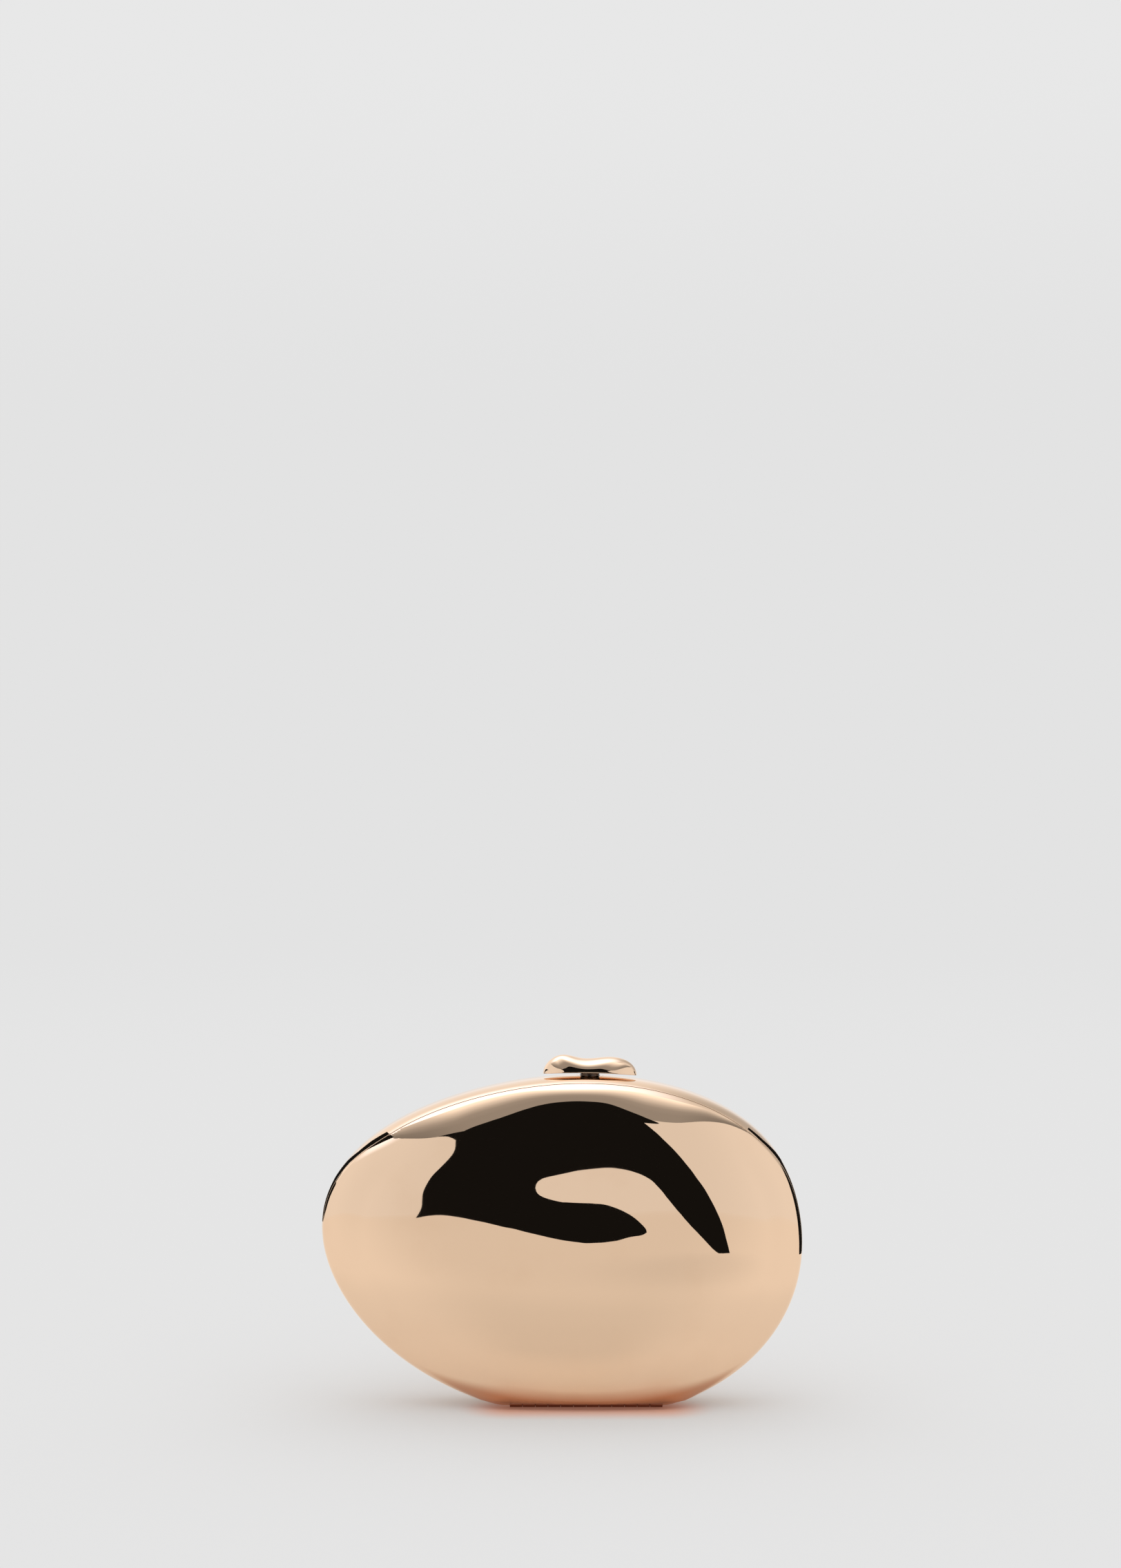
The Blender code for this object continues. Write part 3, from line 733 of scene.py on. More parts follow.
def knob_point(share, angle):
    """A place on the knob: a share of its half length, and an angle round its length."""
    x = knob_x + knob_half_length * share
    swell = math.sqrt(max(0.0, 1.0 - abs(share) ** knob_swell_power))
    height = knob_height * swell
    height -= knob_dip * bell(share, knob_dip_place_share, knob_dip_width_share) * swell
    height += knob_hump * bell(share, knob_hump_place_share, knob_hump_width_share) * swell
    depth = knob_half_depth * math.sqrt(max(0.0, 1.0 - abs(share) ** knob_plan_power))
    skirt = knob_skirt * swell
    if angle < 0.0:
        out = abs(math.cos(angle)) ** knob_foot_power
        rise = skirt * (1.0 - abs(math.sin(angle)) ** knob_foot_power)
    else:
        out = abs(math.cos(angle)) ** knob_side_power
        rise = skirt + (height - skirt) * abs(math.sin(angle)) ** knob_rise_power
    y = clasp_y + depth * math.copysign(out, math.cos(angle))
    return x, y, crown_height(x, y) + knob_gap + rise


deselect()
bpy.ops.mesh.primitive_uv_sphere_add(
    segments=knob_sides, ring_count=knob_rings, radius=1.0, rotation=(0.0, math.pi / 2.0, 0.0))
knob = placed(bpy.context.object)
for vertex in knob.data.vertices:
    share, across, up = vertex.co
    vertex.co = knob_point(max(-1.0, min(1.0, share)), math.atan2(up, across))
cleaned(knob)
stem_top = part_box("knob_stem")[1].z
drill(knob, post_radius + post_gap, stem_top - knob_bore_depth, stem_top - tenon_height)
drill(knob, tenon_radius + post_gap, stem_top - knob_bore_depth, stem_top + post_gap)
finished(knob, "press_knob", polished_gold, "polished_shell", "clasp", "clasp_knob", smooth=60.0)

# Linings


def lining(side, edge_y):
    """Cloth over thin card inside one shell."""
    dish = skin_dish(side, edge_y, ring_inset)
    modified(dish, "SOLIDIFY", thickness=card_thickness, offset=-1.0)
    rounded(dish, lining_round)
    return dish


front_lining = lining(-1.0, front_lining_y)
finished(
    front_lining, "front_lining_cloth", lining_satin, "lining_cloth", "front_half",
    "front_lining")
rear_lining = lining(1.0, rear_lining_y)
bracket_low, bracket_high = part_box("latch_bracket")
take_out(rear_lining, block(
    (bracket_low.x - seat_gap, rear_ring_back_y - overrun, bracket_high.z - half_depth),
    (bracket_high.x + seat_gap, bracket_high.y + seat_gap, bracket_high.z + half_depth)))
finished(
    rear_lining, "rear_lining_cloth", lining_satin, "lining_cloth", "rear_half", "rear_lining")

# Rim rings


def rim_ring(edge_y, back_y):
    """A ring of four-sided section, drawn out to the rim's inner side and to the mouth."""
    section_corners = 4
    deselect()
    bpy.ops.mesh.primitive_torus_add(
        major_segments=ring_sides, minor_segments=section_corners, major_radius=1.0,
        minor_radius=0.1)
    ring = placed(bpy.context.object)
    for index, vertex in enumerate(ring.data.vertices):
        step, corner = divmod(index, section_corners)
        turn = math.tau * step / ring_sides
        y = edge_y if corner in (0, 3) else back_y
        if corner in (0, 1):
            vertex.co = skin_point(turn, y, skin_share(y, ring_inset), ring_inset)
        else:
            vertex.co = mouth_point(turn, y)
    cleaned(ring)
    rounded(ring, ring_round)
    take_out(ring, block(
        (slot_low.x, front_ring_back_y - overrun, slot_low.z),
        (slot_high.x, rear_ring_back_y + overrun, slot_top)))
    return ring


def leaf_seat(ring, side):
    """Takes the hinge leaf's seat out of a ring's parting face."""
    front_y, back_y = sorted((
        seam_y - side * overrun, seam_y + side * (parting_gap / 2.0 + leaf_thickness + seat_gap)))
    take_out(ring, block(
        (hinge_low_x - barrel_radius, front_y, barrel_height),
        (hinge_high_x + barrel_radius, back_y, leaf_top + seat_gap)))


front_ring = rim_ring(front_edge_y, front_ring_back_y)
leaf_seat(front_ring, -1.0)
striker_low, striker_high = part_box("striker")
take_out(front_ring, block(
    (striker_low.x - seat_gap, striker_low.y - seat_gap, striker_low.z),
    (striker_high.x + seat_gap, seam_y + overrun, striker_high.z + seat_gap)))
finished(
    front_ring, "front_rim", satin_gold, "satin_metal", "front_half", "front_rim_ring")
rear_ring = rim_ring(rear_edge_y, rear_ring_back_y)
leaf_seat(rear_ring, 1.0)
finished(rear_ring, "rear_rim", satin_gold, "satin_metal", "rear_half", "rear_rim_ring")

# Hinge


def knuckle(low_x, high_x):
    """A rolled tube round the hinge pin, with rounded rims."""
    piece = hinge_rod(knuckle_radius, low_x, high_x, knuckle_sides, fill="NOTHING")
    modified(piece, "SOLIDIFY", thickness=knuckle_radius - bore_radius, offset=-1.0)
    rounded(piece, leaf_round)
    return piece


def plate(low, high):
    """A sheet with its edges broken."""
    piece = block(low, high)
    rounded(piece, leaf_round)
    return piece


def joined(pieces):
    """Makes one piece of several."""
    picked(pieces[0])
    for piece in pieces:
        piece.select_set(True)
    bpy.ops.object.join()
    return pieces[0]


def leaf(side, first_knuckle):
    """A hinge leaf: its plate, and a tab and a rolled knuckle at every second place."""
    face_y = seam_y + side * parting_gap / 2.0
    front_y, back_y = sorted((face_y, face_y + side * leaf_thickness))
    spans = []
    for index in range(first_knuckle, knuckle_count, 2):
        low_x = hinge_low_x + index * knuckle_pitch + knuckle_gap / 2.0
        spans.append((low_x, low_x + knuckle_pitch - knuckle_gap))
    pieces = [plate((spans[0][0], front_y, slot_top), (spans[-1][1], back_y, leaf_top))]
    for low_x, high_x in spans:
        pieces.append(knuckle(low_x, high_x))
        pieces.append(plate(
            (low_x, front_y, barrel_height + bore_radius),
            (high_x, back_y, slot_top + leaf_thickness)))
    return joined(pieces)


# The hinge leaves carry painted shade in their darkened colour.
finished(
    leaf(-1.0, 1), "front_leaf", painted_shade_hinge_metal, "satin_metal", "front_half", "hinge_leaf_front")
finished(leaf(1.0, 0), "rear_leaf", painted_shade_hinge_metal, "satin_metal", "rear_half", "hinge_leaf_rear")
# The hinge pin is painted dark: painted shade in the knuckle gaps.
hinge_wire = hinge_rod(hinge_pin_radius, hinge_low_x, hinge_high_x, pin_sides)
rounded(hinge_wire, leaf_round)
finished(hinge_wire, "hinge_wire", painted_shade_steel, "latch_steel", "rear_half", "hinge_pin")

# Latch
flat_angle = math.radians(1.0)
filed_angle = 30.0


def softened(node, name, material, slot, body, width):
    """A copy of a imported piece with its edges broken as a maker's file would."""
    deselect()
    piece = frame["nodes"][node].copy()
    piece.data = frame["nodes"][node].data.copy()
    for key in list(piece.keys()):
        del piece[key]
    piece.parent = None
    bpy.context.scene.collection.objects.link(piece)
    cleaned(piece)
    with editing(piece):
        bpy.ops.mesh.select_all(action="SELECT")
        bpy.ops.mesh.dissolve_limited(angle_limit=flat_angle)
    rounded(piece, width, angle=filed_angle)
    return finished(piece, name, material, slot, body, node)


for node, name, body, width in (
    ("latch_bracket", "bent_bracket", "rear_half", bracket_round),
    ("striker", "striker_plate", "front_half", plate_round),
    ("latch_bar", "hooked_bar", "clasp", plate_round),
    ("bush_nut", "hex_nut", "rear_half", plate_round),
    ("stem_clip", "turned_clip", "clasp", clip_round),
):
    softened(node, name, bright_steel, "latch_steel", body, width)
# The knob's post is painted dark: painted shade under the knob.
softened("knob_stem", "turned_stem", painted_shade_steel, "polished_shell", "clasp", turned_round)

# Bush, whose top follows the crown
bush = softened(
    "stem_bush", "turned_bush", polished_gold, "polished_shell", "rear_half", turned_round)
deselect()
bpy.ops.mesh.primitive_grid_add(
    x_subdivisions=crown_block_steps, y_subdivisions=crown_block_steps,
    size=2.0 * bush_radius + overrun, location=(knob_x, clasp_y, 0.0))
crown_block = placed(bpy.context.object)
for vertex in crown_block.data.vertices:
    vertex.co.z = crown_height(vertex.co.x, vertex.co.y) + bush_stand
modified(crown_block, "SOLIDIFY", thickness=crown_block_height, offset=1.0)
take_out(bush, crown_block)

# Rivets of the hinge leaves and the striker
for half in ("front", "rear"):
    for number in ("1", "2", "3"):
        softened(
            f"hinge_rivet_{half}_{number}", f"{half}_hinge_rivet_{number}", satin_gold,
            "satin_metal", f"{half}_half", turned_round)
for place in ("left", "right"):
    softened(
        f"striker_rivet_{place}", f"{place}_striker_rivet", satin_gold, "satin_metal",
        "front_half", turned_round)

# Return spring: a wire coil, which shortens as the knob goes down
coil_low, coil_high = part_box("return_spring")
coil_radius = (coil_high.y - coil_low.y) / 2.0 - wire_radius
coil_rise = coil_high.z - coil_low.z - 2.0 * wire_radius
deselect()
bpy.ops.mesh.primitive_circle_add(
    vertices=wire_sides, radius=wire_radius, location=(coil_radius, 0.0, 0.0),
    rotation=(math.pi / 2.0, 0.0, 0.0))
spring = placed(bpy.context.object)
modified(
    spring, "SCREW", axis="Z", angle=math.tau, screw_offset=coil_rise / spring_turns,
    iterations=spring_turns, steps=coil_steps, render_steps=coil_steps)
with editing(spring):
    bpy.ops.mesh.select_all(action="SELECT")
    bpy.ops.mesh.fill_holes(sides=0)
spring.location = (knob_x, clasp_y, coil_low.z + wire_radius)
placed(spring)
cleaned(spring)
finished(
    spring, "coiled_spring", drawn_wire, "spring_wire", "rear_half", "return_spring", smooth=60.0)
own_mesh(spring)

# Floor: its colours as the camera sees it, and as the polish mirrors it, both with painted light
# and shade near the bag
floor_size = 30.0
floor_fade = (0.9, 3.2)
floor_roughness = 0.9
floor_grey = 0.79
background_grey = 0.768
shadow_fill = 0.22
# Painted warm bounce light and shade from the gold, on the floor at the bag's foot: its colour on
# the lit floor, its colour in the even fill, and its run from the foot.
painted_bounce_floor = (0.9, 0.54, 0.41)
painted_bounce_fill = (0.95, 0.46, 0.32)
painted_bounce_run = (0.001, 0.021)
# The floor as the polish mirrors it: its pale colour, darker painted shade far off, and painted
# light to the sides and just beyond the foot.
mirrored_floor = (0.85, 0.82, 0.775)
painted_shade_far = (0.8, 0.77, 0.73)
painted_light_sides = (0.95, 0.915, 0.87)
painted_light_near = (1.0, 0.95, 0.88)
# Painted warm shade and bounce light under the hinge, as the polish mirrors it.
painted_warm_shade = (0.52, 0.235, 0.115)
# Painted contact shadow: almost black on the floor right at the hinge, as the polish mirrors it.
painted_contact_shadow = (0.03, 0.01, 0.006)
# A painted shadow ring in front of the foot and a painted shadow patch further out to the front
# right, as the polish mirrors them.
painted_shadow_ring = 0.075
painted_shadow_ring_rise = (0.03, 0.08)
painted_shadow_ring_fall = (0.1, 0.17)
painted_shadow_patch = 0.09
painted_shadow_patch_place = (0.12, -0.25, 0.0)
painted_shadow_patch_run = (0.03, 0.14)
# Runs of the painted shade far off and of the painted light near the foot.
painted_shade_far_run = (0.06, 0.26)
painted_light_near_run = (0.022, 0.05)
# Runs of the painted warm shade round the foot.
painted_warm_shade_run = (0.0055, 0.013)
painted_warm_shade_narrowing = 0.3
painted_contact_shadow_run = (0.0005, 0.0085)
contact_half_length = 26.0 * MM
room_level = 0.94
front_level = 0.84
wall_run = (0.25, 0.8)


def wall_level(off_side):
    """Brightness of the studio's walls: lighter at the sides than before the bag."""
    return off_side * (room_level - front_level) + front_level


def floor_as_mirrored(finish, place, from_foot, from_foot_narrowed, off_side):
    """The floor's colour in the polish, with painted light and shade: a painted contact shadow and
    painted warm shade under the hinge, pale with painted light further out and at the sides,
    painted shadows beyond, and darker painted shade far off.
    """
    # Painted shade far off, painted light near the foot and at the sides.
    colour = finish.mix_colour(from_foot.smooth(*painted_shade_far_run), rgba(mirrored_floor), rgba(painted_shade_far))
    colour = finish.mix_colour(from_foot.smooth(*painted_light_near_run), rgba(painted_light_near), colour)
    colour = finish.mix_colour(off_side, colour, rgba(painted_light_sides))
    # Painted shadows: a ring round the foot and a patch further out.
    ring = from_foot.smooth(*painted_shadow_ring_rise) * (1.0 - from_foot.smooth(*painted_shadow_ring_fall))
    off_painted_shadow_patch = finish.node(
        "ShaderNodeVectorMath", {"operation": "DISTANCE"}, {0: place, 1: painted_shadow_patch_place}, "Value")
    painted_shadow_patch_share = 1.0 - off_painted_shadow_patch.smooth(*painted_shadow_patch_run)
    colour = finish.mix_colour(ring * painted_shadow_ring + painted_shadow_patch_share * painted_shadow_patch, colour, grey(0.0))
    # Painted warm shade and bounce light round the foot.
    colour = finish.mix_colour(from_foot_narrowed.smooth(*painted_warm_shade_run), rgba(painted_warm_shade), colour)
    # Painted contact shadow at the foot.
    return finish.mix_colour(from_foot.smooth(*painted_contact_shadow_run), rgba(painted_contact_shadow), colour)


def pale_floor():
    """A pale matt floor that fades into the background, with painted warm bounce light and shade at
    the bag's foot, and painted light and shade in what the polish mirrors.
    """
    material = bpy.data.materials.new("pale_floor")
    finish = Finish(material)
    place = finish.node("ShaderNodeTexCoord", None, None, "Object")
    distance = finish.node("ShaderNodeVectorMath", {"operation": "LENGTH"}, {0: place}, "Value")
    across = finish.separate(place, "X")
    off_middle = (across - foot_x).absolute()
    out_front = seam_y - finish.separate(place, "Y")

    def from_line(narrowing):
        """How far a place is from the line on which the hinge lies over the floor."""
        off_end = ((off_middle - contact_half_length) * narrowing).at_least(0.0)
        return (out_front * out_front + off_end * off_end) ** 0.5

    from_foot = from_line(1.0)
    off_side = (across.absolute() / distance).smooth(*wall_run)
    seen_by_metal = finish.node("ShaderNodeLightPath", None, None, "Is Glossy Ray")
    # Painted warm bounce light near the foot, on the lit floor and in the fill.
    painted_bounce_share = from_foot.smooth(*painted_bounce_run)
    near = finish.node("ShaderNodeBsdfPrincipled", None, {
        "Base Color": finish.mix_colour(
            seen_by_metal, finish.mix_colour(painted_bounce_share, rgba(painted_bounce_floor), grey(floor_grey)),
            floor_as_mirrored(finish, place, from_foot, from_line(painted_warm_shade_narrowing), off_side)),
        "Roughness": floor_roughness,
        "Specular IOR Level": 0.0,
    })
    far = finish.node("ShaderNodeEmission", None, {
        "Color": finish.mix_colour(painted_bounce_share, rgba(painted_bounce_fill), grey(1.0)),
        "Strength": seen_by_metal * (wall_level(off_side) - background_grey) + background_grey,
    })
    fade = distance.smooth(*floor_fade) * (1.0 - shadow_fill) + shadow_fill
    surface = finish.node("ShaderNodeMixShader", None, {0: fade, 1: near, 2: far})
    finish.node("ShaderNodeOutputMaterial", None, {"Surface": surface})
    return material


deselect()
bpy.ops.mesh.primitive_plane_add(size=floor_size, location=(0.0, 0.0, 0.0))
floor = bpy.context.object
floor.name = "studio_floor"
floor.data.materials.append(pale_floor())

# World: the backdrop that the camera sees, the light on the floor, and the room in the polish
backdrop_top_grey = 0.806
backdrop_low_pixel = (812.0, 620.0)
backdrop_top_pixel = (812.0, 60.0)
sky_base = 0.5
sky_rise = 0.75
softbox_way = (-0.22, 0.08, 0.972)
softbox_run = (0.78, 0.97)
softbox_colour = (1.7, 1.85, 2.2)
rear_light_left = 1.2
rear_light_right = 0.62
rear_light_run = (0.06, 0.5)
rear_light_depth = (0.1, 0.5)
rear_light_rise = (0.02, 0.2)


def room_as_mirrored(finish, toward, sideways, upward):
    """The room in the polish: its walls, the softbox overhead and an uneven light behind."""
    walls = wall_level(sideways.absolute().smooth(*wall_run))
    # What the crown mirrors from behind the bag is lighter on the left than on the right.
    behind = finish.separate(toward, "Y").smooth(*rear_light_depth)
    behind = behind * upward.smooth(*rear_light_rise)
    rear_light = sideways.smooth(*rear_light_run) * (rear_light_right - rear_light_left)
    rear_light = rear_light + rear_light_left
    walls = walls * ((rear_light - 1.0) * behind + 1.0)
    overhead = finish.node(
        "ShaderNodeVectorMath", {"operation": "DOT_PRODUCT"}, {0: toward, 1: softbox_way}, "Value")
    return finish.mix_colour(overhead.smooth(*softbox_run), walls, rgba(softbox_colour))


def studio_world():
    """A pale studio, seen in one way by the camera, by the floor and by the polish."""
    world = bpy.data.worlds.new("studio")
    finish = Finish(world)
    toward = finish.node("ShaderNodeTexCoord", None, None, "Generated")
    sideways = finish.separate(toward, "X")
    upward = finish.separate(toward, "Z")
    seen_by_camera = finish.node("ShaderNodeLightPath", None, None, "Is Camera Ray")
    seen_by_metal = finish.node("ShaderNodeLightPath", None, None, "Is Glossy Ray")
    sky = upward.at_least(0.0) * sky_rise + sky_base
    room = finish.mix_colour(
        seen_by_metal, sky, room_as_mirrored(finish, toward, sideways, upward))
    backdrop_rise = (camera_ray(backdrop_low_pixel).z, camera_ray(backdrop_top_pixel).z)
    backdrop = finish.mix_colour(
        upward.smooth(*backdrop_rise), grey(background_grey), grey(backdrop_top_grey))
    background = finish.node("ShaderNodeBackground", None, {
        "Color": finish.mix_colour(seen_by_camera, room, backdrop), "Strength": 1.0})
    finish.node("ShaderNodeOutputWorld", None, {"Surface": background})
    return world


bpy.context.scene.world = studio_world()

# Studio cards
# What the polish mirrors: a dark flag before the bag, a graded scrim over it and two dark
# edges beside it. Each is placed by the pixels of the picture in which it is mirrored.
card_distance = 0.3
card_centre = Vector((0.0, 0.0, 0.06))
edge_distance = 0.14
edge_reach = 9.0 * MM
edge_front_y = seam_y - edge_reach
pixel_size = 0.2464 * MM
dark_level = 0.008
outline_step = 5.0
scrim_columns = 96
scrim_rows = 10
edge_columns = 96
edge_rows = 6
# Brightness of the scrim from its foot to its top, at its middle and at its two ends.
scrim_stops = [(0.0, 0.35), (0.32, 0.35), (0.52, 0.39), (0.64, 0.54), (0.8, 0.88), (1.0, 1.5)]
scrim_end_stops = [(0.0, 0.25), (0.35, 0.29), (0.65, 0.44), (1.0, 0.78)]
scrim_left_run = (0.06, 0.22)
scrim_right_run = (0.78, 0.92)
# Each dark edge runs between two ways round the bag, in degrees. Its two sides are given in
# pixels inside the limb, evenly spaced from its first end to its last.
left_edge_turns = (137.0, 186.0)
left_edge_outer = (7.5, 5.6, 5.0, 3.2, 2.8, 2.2, 1.9, 1.7, 1.8)
left_edge_inner = (20.0, 14.5, 8.8, 6.8, 7.6, 7.4, 6.4, 5.6, 3.6)
right_edge_turns = (42.0, -13.0)
right_edge_outer = (7.0, 6.2, 3.8, 3.0, 2.4, 2.0, 1.8, 1.6, 1.6)
right_edge_inner = (9.5, 9.4, 7.8, 7.2, 6.8, 6.4, 6.2, 6.0, 5.2)
# The flag's outline is a few smooth runs that meet in corners.
dark_flag_runs = (
    [(660, 1652), (657, 1670), (641, 1689), (624, 1707), (613, 1728), (610, 1750), (602, 1765)],
    [(602, 1765), (631, 1761), (665, 1764), (736, 1779), (813, 1797), (846, 1801), (885, 1799),
     (913, 1793), (933, 1789), (936, 1782), (916, 1762), (880, 1746), (850, 1744), (815, 1742),
     (787, 1735), (777, 1727), (777, 1716), (786, 1708), (811, 1702), (846, 1695), (880, 1692),
     (906, 1695), (933, 1704), (952, 1718), (980, 1753), (1009, 1785), (1033, 1810), (1041, 1816)],
    [(1041, 1816), (1057, 1816)],
    [(1057, 1816), (1047, 1777), (1033, 1744), (1009, 1706), (978, 1668), (948, 1639),
     (933, 1627)],
    [(933, 1627), (955, 1628), (937, 1620), (909, 1609), (880, 1599), (851, 1596), (823, 1596),
     (794, 1599), (765, 1606), (727, 1619), (688, 1632), (661, 1643), (632, 1647)],
    [(632, 1647), (650, 1647), (660, 1652)],
)
scrim_top_pixels = [
    (564, 1642), (600, 1628), (650, 1610), (700, 1594), (760, 1582), (830, 1579), (900, 1580),
    (950, 1588), (1013, 1604), (1041, 1616), (1063, 1626), (1084, 1638),
]
scrim_foot_pixels = [
    (570, 1650), (590, 1650), (620, 1649), (660, 1643), (688, 1632), (727, 1619), (765, 1606),
    (794, 1599), (823, 1596), (851, 1596), (880, 1599), (909, 1609), (940, 1622), (980, 1627),
    (1020, 1625), (1050, 1628), (1075, 1637), (1088, 1644),
]


def mirrored_from(place, normal, distance=card_distance):
    """The place on the card dome that the camera sees in a polished spot of the bag."""
    ray = (place - camera.location).normalized()
    away = ray - 2.0 * ray.dot(normal) * normal
    offset = place - card_centre
    along = away.dot(offset)
    reach = -along + math.sqrt(along * along - offset.length_squared + distance ** 2)
    return place + away * reach


def card_place(pixel):
    """The place on the card dome that a pixel's ray reaches by way of the front, or None."""
    found, place, _, index = front_skin.ray_cast(camera.location, camera_ray(pixel))
    if not found:
        return None
    mesh = front_skin.data
    corners = mesh.polygons[index].vertices
    shares = poly_3d_calc([mesh.vertices[corner].co for corner in corners], place)
    normal = Vector((0.0, 0.0, 0.0))
    for corner, share in zip(corners, shares):
        normal += mesh.vertices[corner].normal * share
    return mirrored_from(place, normal.normalized())


def skin_spot(turn, y):
    """A place on the outer skin, and the way that the skin faces there."""
    depth_step = normal_step * half_depth
    along = outer_skin(turn + normal_step, y) - outer_skin(turn - normal_step, y)
    back = outer_skin(turn, y + depth_step) - outer_skin(turn, y - depth_step)
    normal = back.cross(along).normalized()
    place = outer_skin(turn, y)
    if normal.dot(place - Vector((foot_x, y, dome_centre_height))) < 0.0:
        normal.negate()
    return place, normal


def spread(values, along):
    """A value at a share of the way along a row of evenly spaced ones."""
    place = along * (len(values) - 1)
    index = min(int(place), len(values) - 2)
    return values[index] + (values[index + 1] - values[index]) * (place - index)


def limb_y(turn):
    """How far back the camera sees the skin at one way round the bag."""
    def faces_camera(y):
        place, normal = skin_spot(turn, y)
        return normal.dot(camera.location - place) > 0.0

    return last_place(edge_front_y, 0.0, faces_camera)


def inside_limb(turn, limb, width):
    """Where the camera sees the skin a small width inside the limb."""
    edge = outer_skin(turn, limb)

    def further_in(y):
        place = outer_skin(turn, y)
        off, way = place - edge, (place - camera.location).normalized()
        return (off - way * off.dot(way)).length > width

    return last_place(edge_front_y, limb, further_in)


def smooth_run(points):
    """A soft curve through a run of pixels, in short steps."""
    ends = [points[0], *points, points[-1]]
    run = []
    for four in zip(ends, ends[1:], ends[2:], ends[3:]):
        count = max(1, round(math.dist(four[1], four[2]) / outline_step))
        run.extend(curve_place(four, index / count) for index in range(count))
    return [*run, points[-1]]


def curve_place(four, share):
    """A place between the middle two of four points, on a soft curve through them."""
    return tuple(
        start + 0.5 * share * (
            end - before + share * (
                2.0 * before - 5.0 * start + 4.0 * end - after
                + share * (3.0 * start - before - 3.0 * end + after)))
        for before, start, end, after in zip(*four))


def along_run(points, share):
    """A point of a run of pixels, at a share of its length."""
    steps = [(start, end, math.dist(start, end)) for start, end in zip(points, points[1:])]
    rest = share * sum(length for _, _, length in steps)
    for start, end, length in steps:
        if rest <= length:
            return tuple(first + (last - first) * rest / length for first, last in zip(start, end))
        rest -= length
    return points[-1]


def dark_cloth():
    """A black cloth, which throws back almost nothing."""
    material = bpy.data.materials.new("dark_flag_cloth")
    finish = Finish(material)
    light = finish.node("ShaderNodeEmission", None, {"Color": grey(dark_level), "Strength": 1.0})
    finish.node("ShaderNodeOutputMaterial", None, {"Surface": light})
    return material


def lit_scrim():
    """A lit scrim, graded from its foot to its top, and darker at its two ends."""
    material = bpy.data.materials.new("graded_scrim")
    finish = Finish(material)
    place = finish.node("ShaderNodeUVMap", {"uv_map": "card"})
    across = finish.separate(place, "X")
    up = finish.separate(place, "Y")
    at_end = 1.0 - across.smooth(*scrim_left_run) + across.smooth(*scrim_right_run)
    level = finish.mix_colour(
        at_end, finish.node("ShaderNodeValToRGB", {"stops": scrim_stops}, {"Fac": up}),
        finish.node("ShaderNodeValToRGB", {"stops": scrim_end_stops}, {"Fac": up}))
    light = finish.node("ShaderNodeEmission", None, {"Color": level, "Strength": 1.0})
    finish.node("ShaderNodeOutputMaterial", None, {"Surface": light})
    return material


def card(name, places, faces, material, card_map=None):
    """A studio card that only polished surfaces see."""
    mesh = bpy.data.meshes.new(name)
    mesh.from_pydata(places, [], faces)
    if card_map:
        layer = mesh.uv_layers.new(name="card")
        for loop in mesh.loops:
            layer.data[loop.index].uv = card_map[loop.vertex_index]
    piece = bpy.data.objects.new(name, mesh)
    bpy.context.scene.collection.objects.link(piece)
    mesh.materials.append(material)
    piece.visible_camera = False
    piece.visible_diffuse = False
    piece.visible_shadow = False
    piece.visible_transmission = False


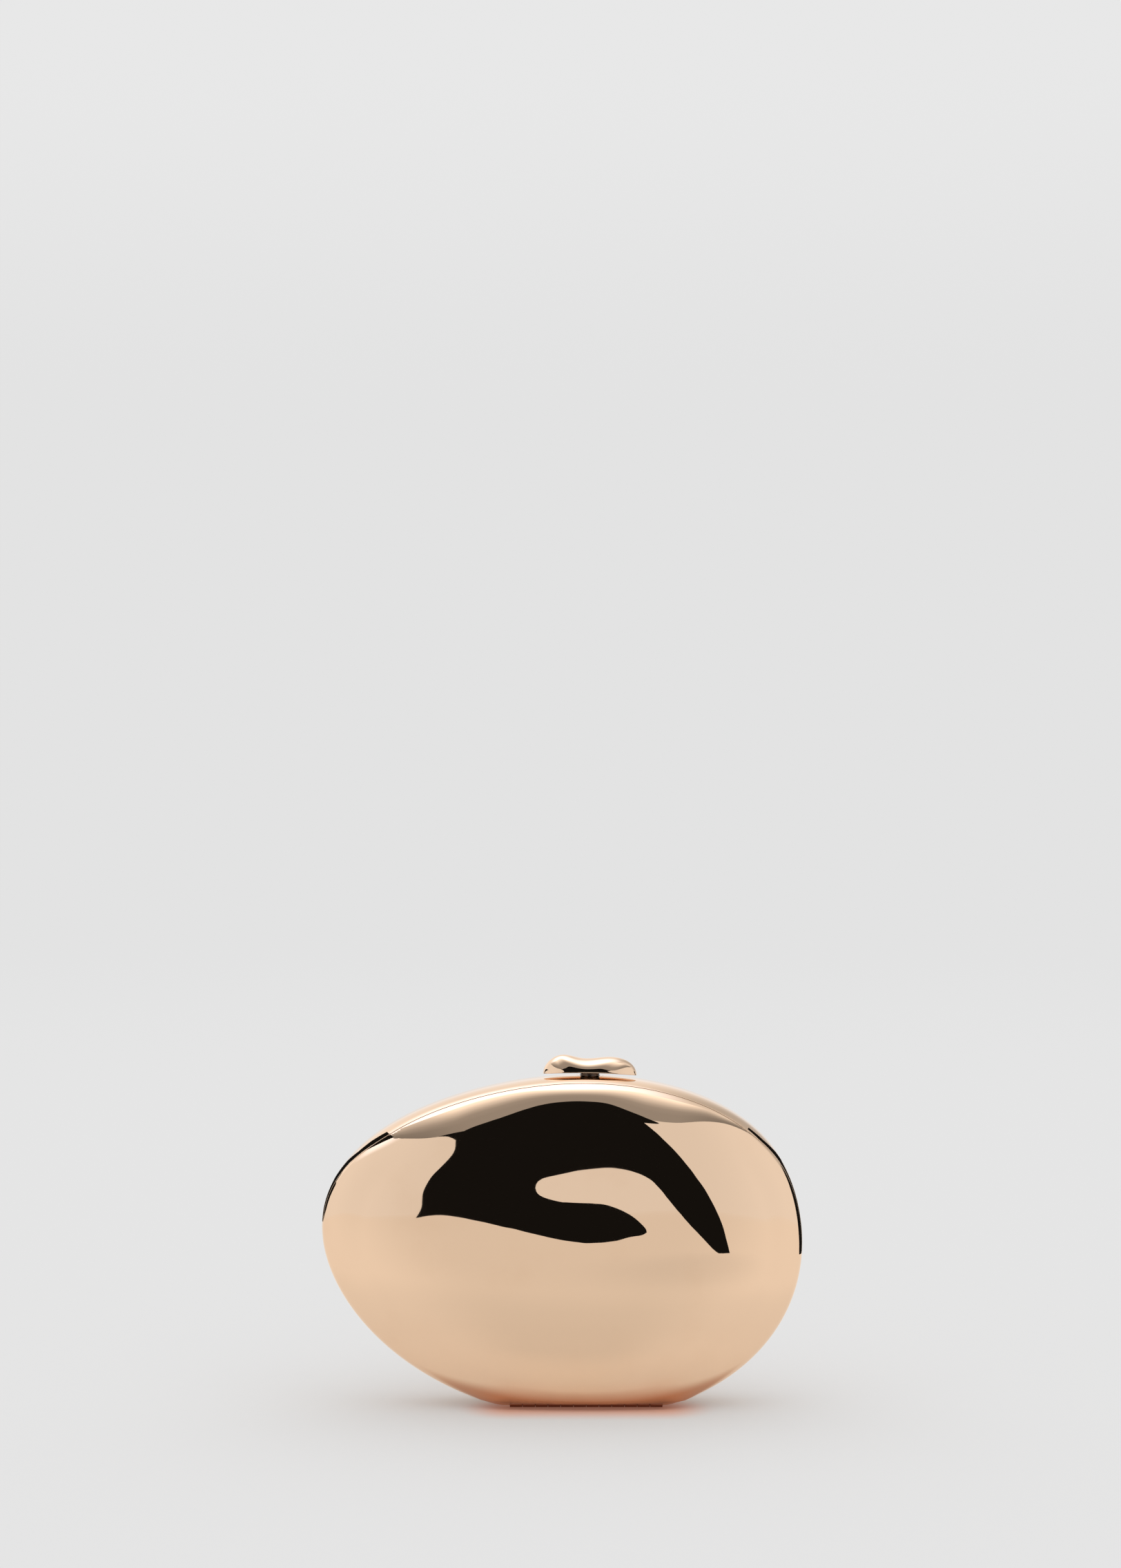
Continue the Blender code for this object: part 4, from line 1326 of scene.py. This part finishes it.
def edge_card(name, turns, outer, inner):
    """A dark card that is mirrored as a line inside the limb."""
    first_turn, last_turn = (math.radians(turn) for turn in turns)
    places, faces = [], []
    for column in range(edge_columns + 1):
        along = column / edge_columns
        turn = first_turn + (last_turn - first_turn) * along
        limb = limb_y(turn)
        back_y = inside_limb(turn, limb, spread(outer, along) * pixel_size)
        front_y = inside_limb(turn, limb, spread(inner, along) * pixel_size)
        for row in range(edge_rows + 1):
            y = front_y + (back_y - front_y) * row / edge_rows
            places.append(mirrored_from(*skin_spot(turn, y), edge_distance))
    for column in range(edge_columns):
        for row in range(edge_rows):
            corner = column * (edge_rows + 1) + row
            faces.append((corner, corner + 1, corner + edge_rows + 2, corner + edge_rows + 1))
    card(name, places, faces, dark_card)


def scrim():
    """A lit card between two runs of pixels."""
    foot_run, top_run = smooth_run(scrim_foot_pixels), smooth_run(scrim_top_pixels)
    places, card_map, index_of = [], [], {}
    for column in range(scrim_columns + 1):
        along = column / scrim_columns
        foot, top = along_run(foot_run, along), along_run(top_run, along)
        for row in range(scrim_rows + 1):
            up = row / scrim_rows
            place = card_place(tuple(low + (high - low) * up for low, high in zip(foot, top)))
            if place is not None:
                index_of[column, row] = len(places)
                places.append(place)
                card_map.append((along, up))
    faces = []
    for column in range(scrim_columns):
        for row in range(scrim_rows):
            corners = [(column, row), (column + 1, row), (column + 1, row + 1), (column, row + 1)]
            if all(corner in index_of for corner in corners):
                faces.append([index_of[corner] for corner in corners])
    card("graded_scrim", places, faces, lit_scrim(), card_map)


def flag():
    """A dark card whose outline is mirrored as smooth runs of pixels that meet in corners."""
    outline_run = [pixel for points in dark_flag_runs for pixel in smooth_run(points)[:-1]]
    pairs = [(pixel, card_place(pixel)) for pixel in outline_run]
    pairs = [(pixel, place) for pixel, place in pairs if place is not None]
    faces = tessellate_polygon([[Vector((*pixel, 0.0)) for pixel, _ in pairs]])
    card("dark_flag", [place for _, place in pairs], faces, dark_card)


bpy.context.view_layer.update()
dark_card = dark_cloth()
flag()
scrim()
edge_card("dark_edge_left", left_edge_turns, left_edge_outer, left_edge_inner)
edge_card("dark_edge_right", right_edge_turns, right_edge_outer, right_edge_inner)

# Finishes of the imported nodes, by their slots
slot_finish = {
    "polished_shell": polished_gold,
    "satin_metal": satin_gold,
    "latch_steel": bright_steel,
    "spring_wire": drawn_wire,
    "lining_cloth": lining_satin,
}
for subpart in frame["record"]["subparts"]:
    node = frame["nodes"][subpart["node"]]
    node.data.materials.clear()
    node.data.materials.append(slot_finish[subpart["material_slot"]])
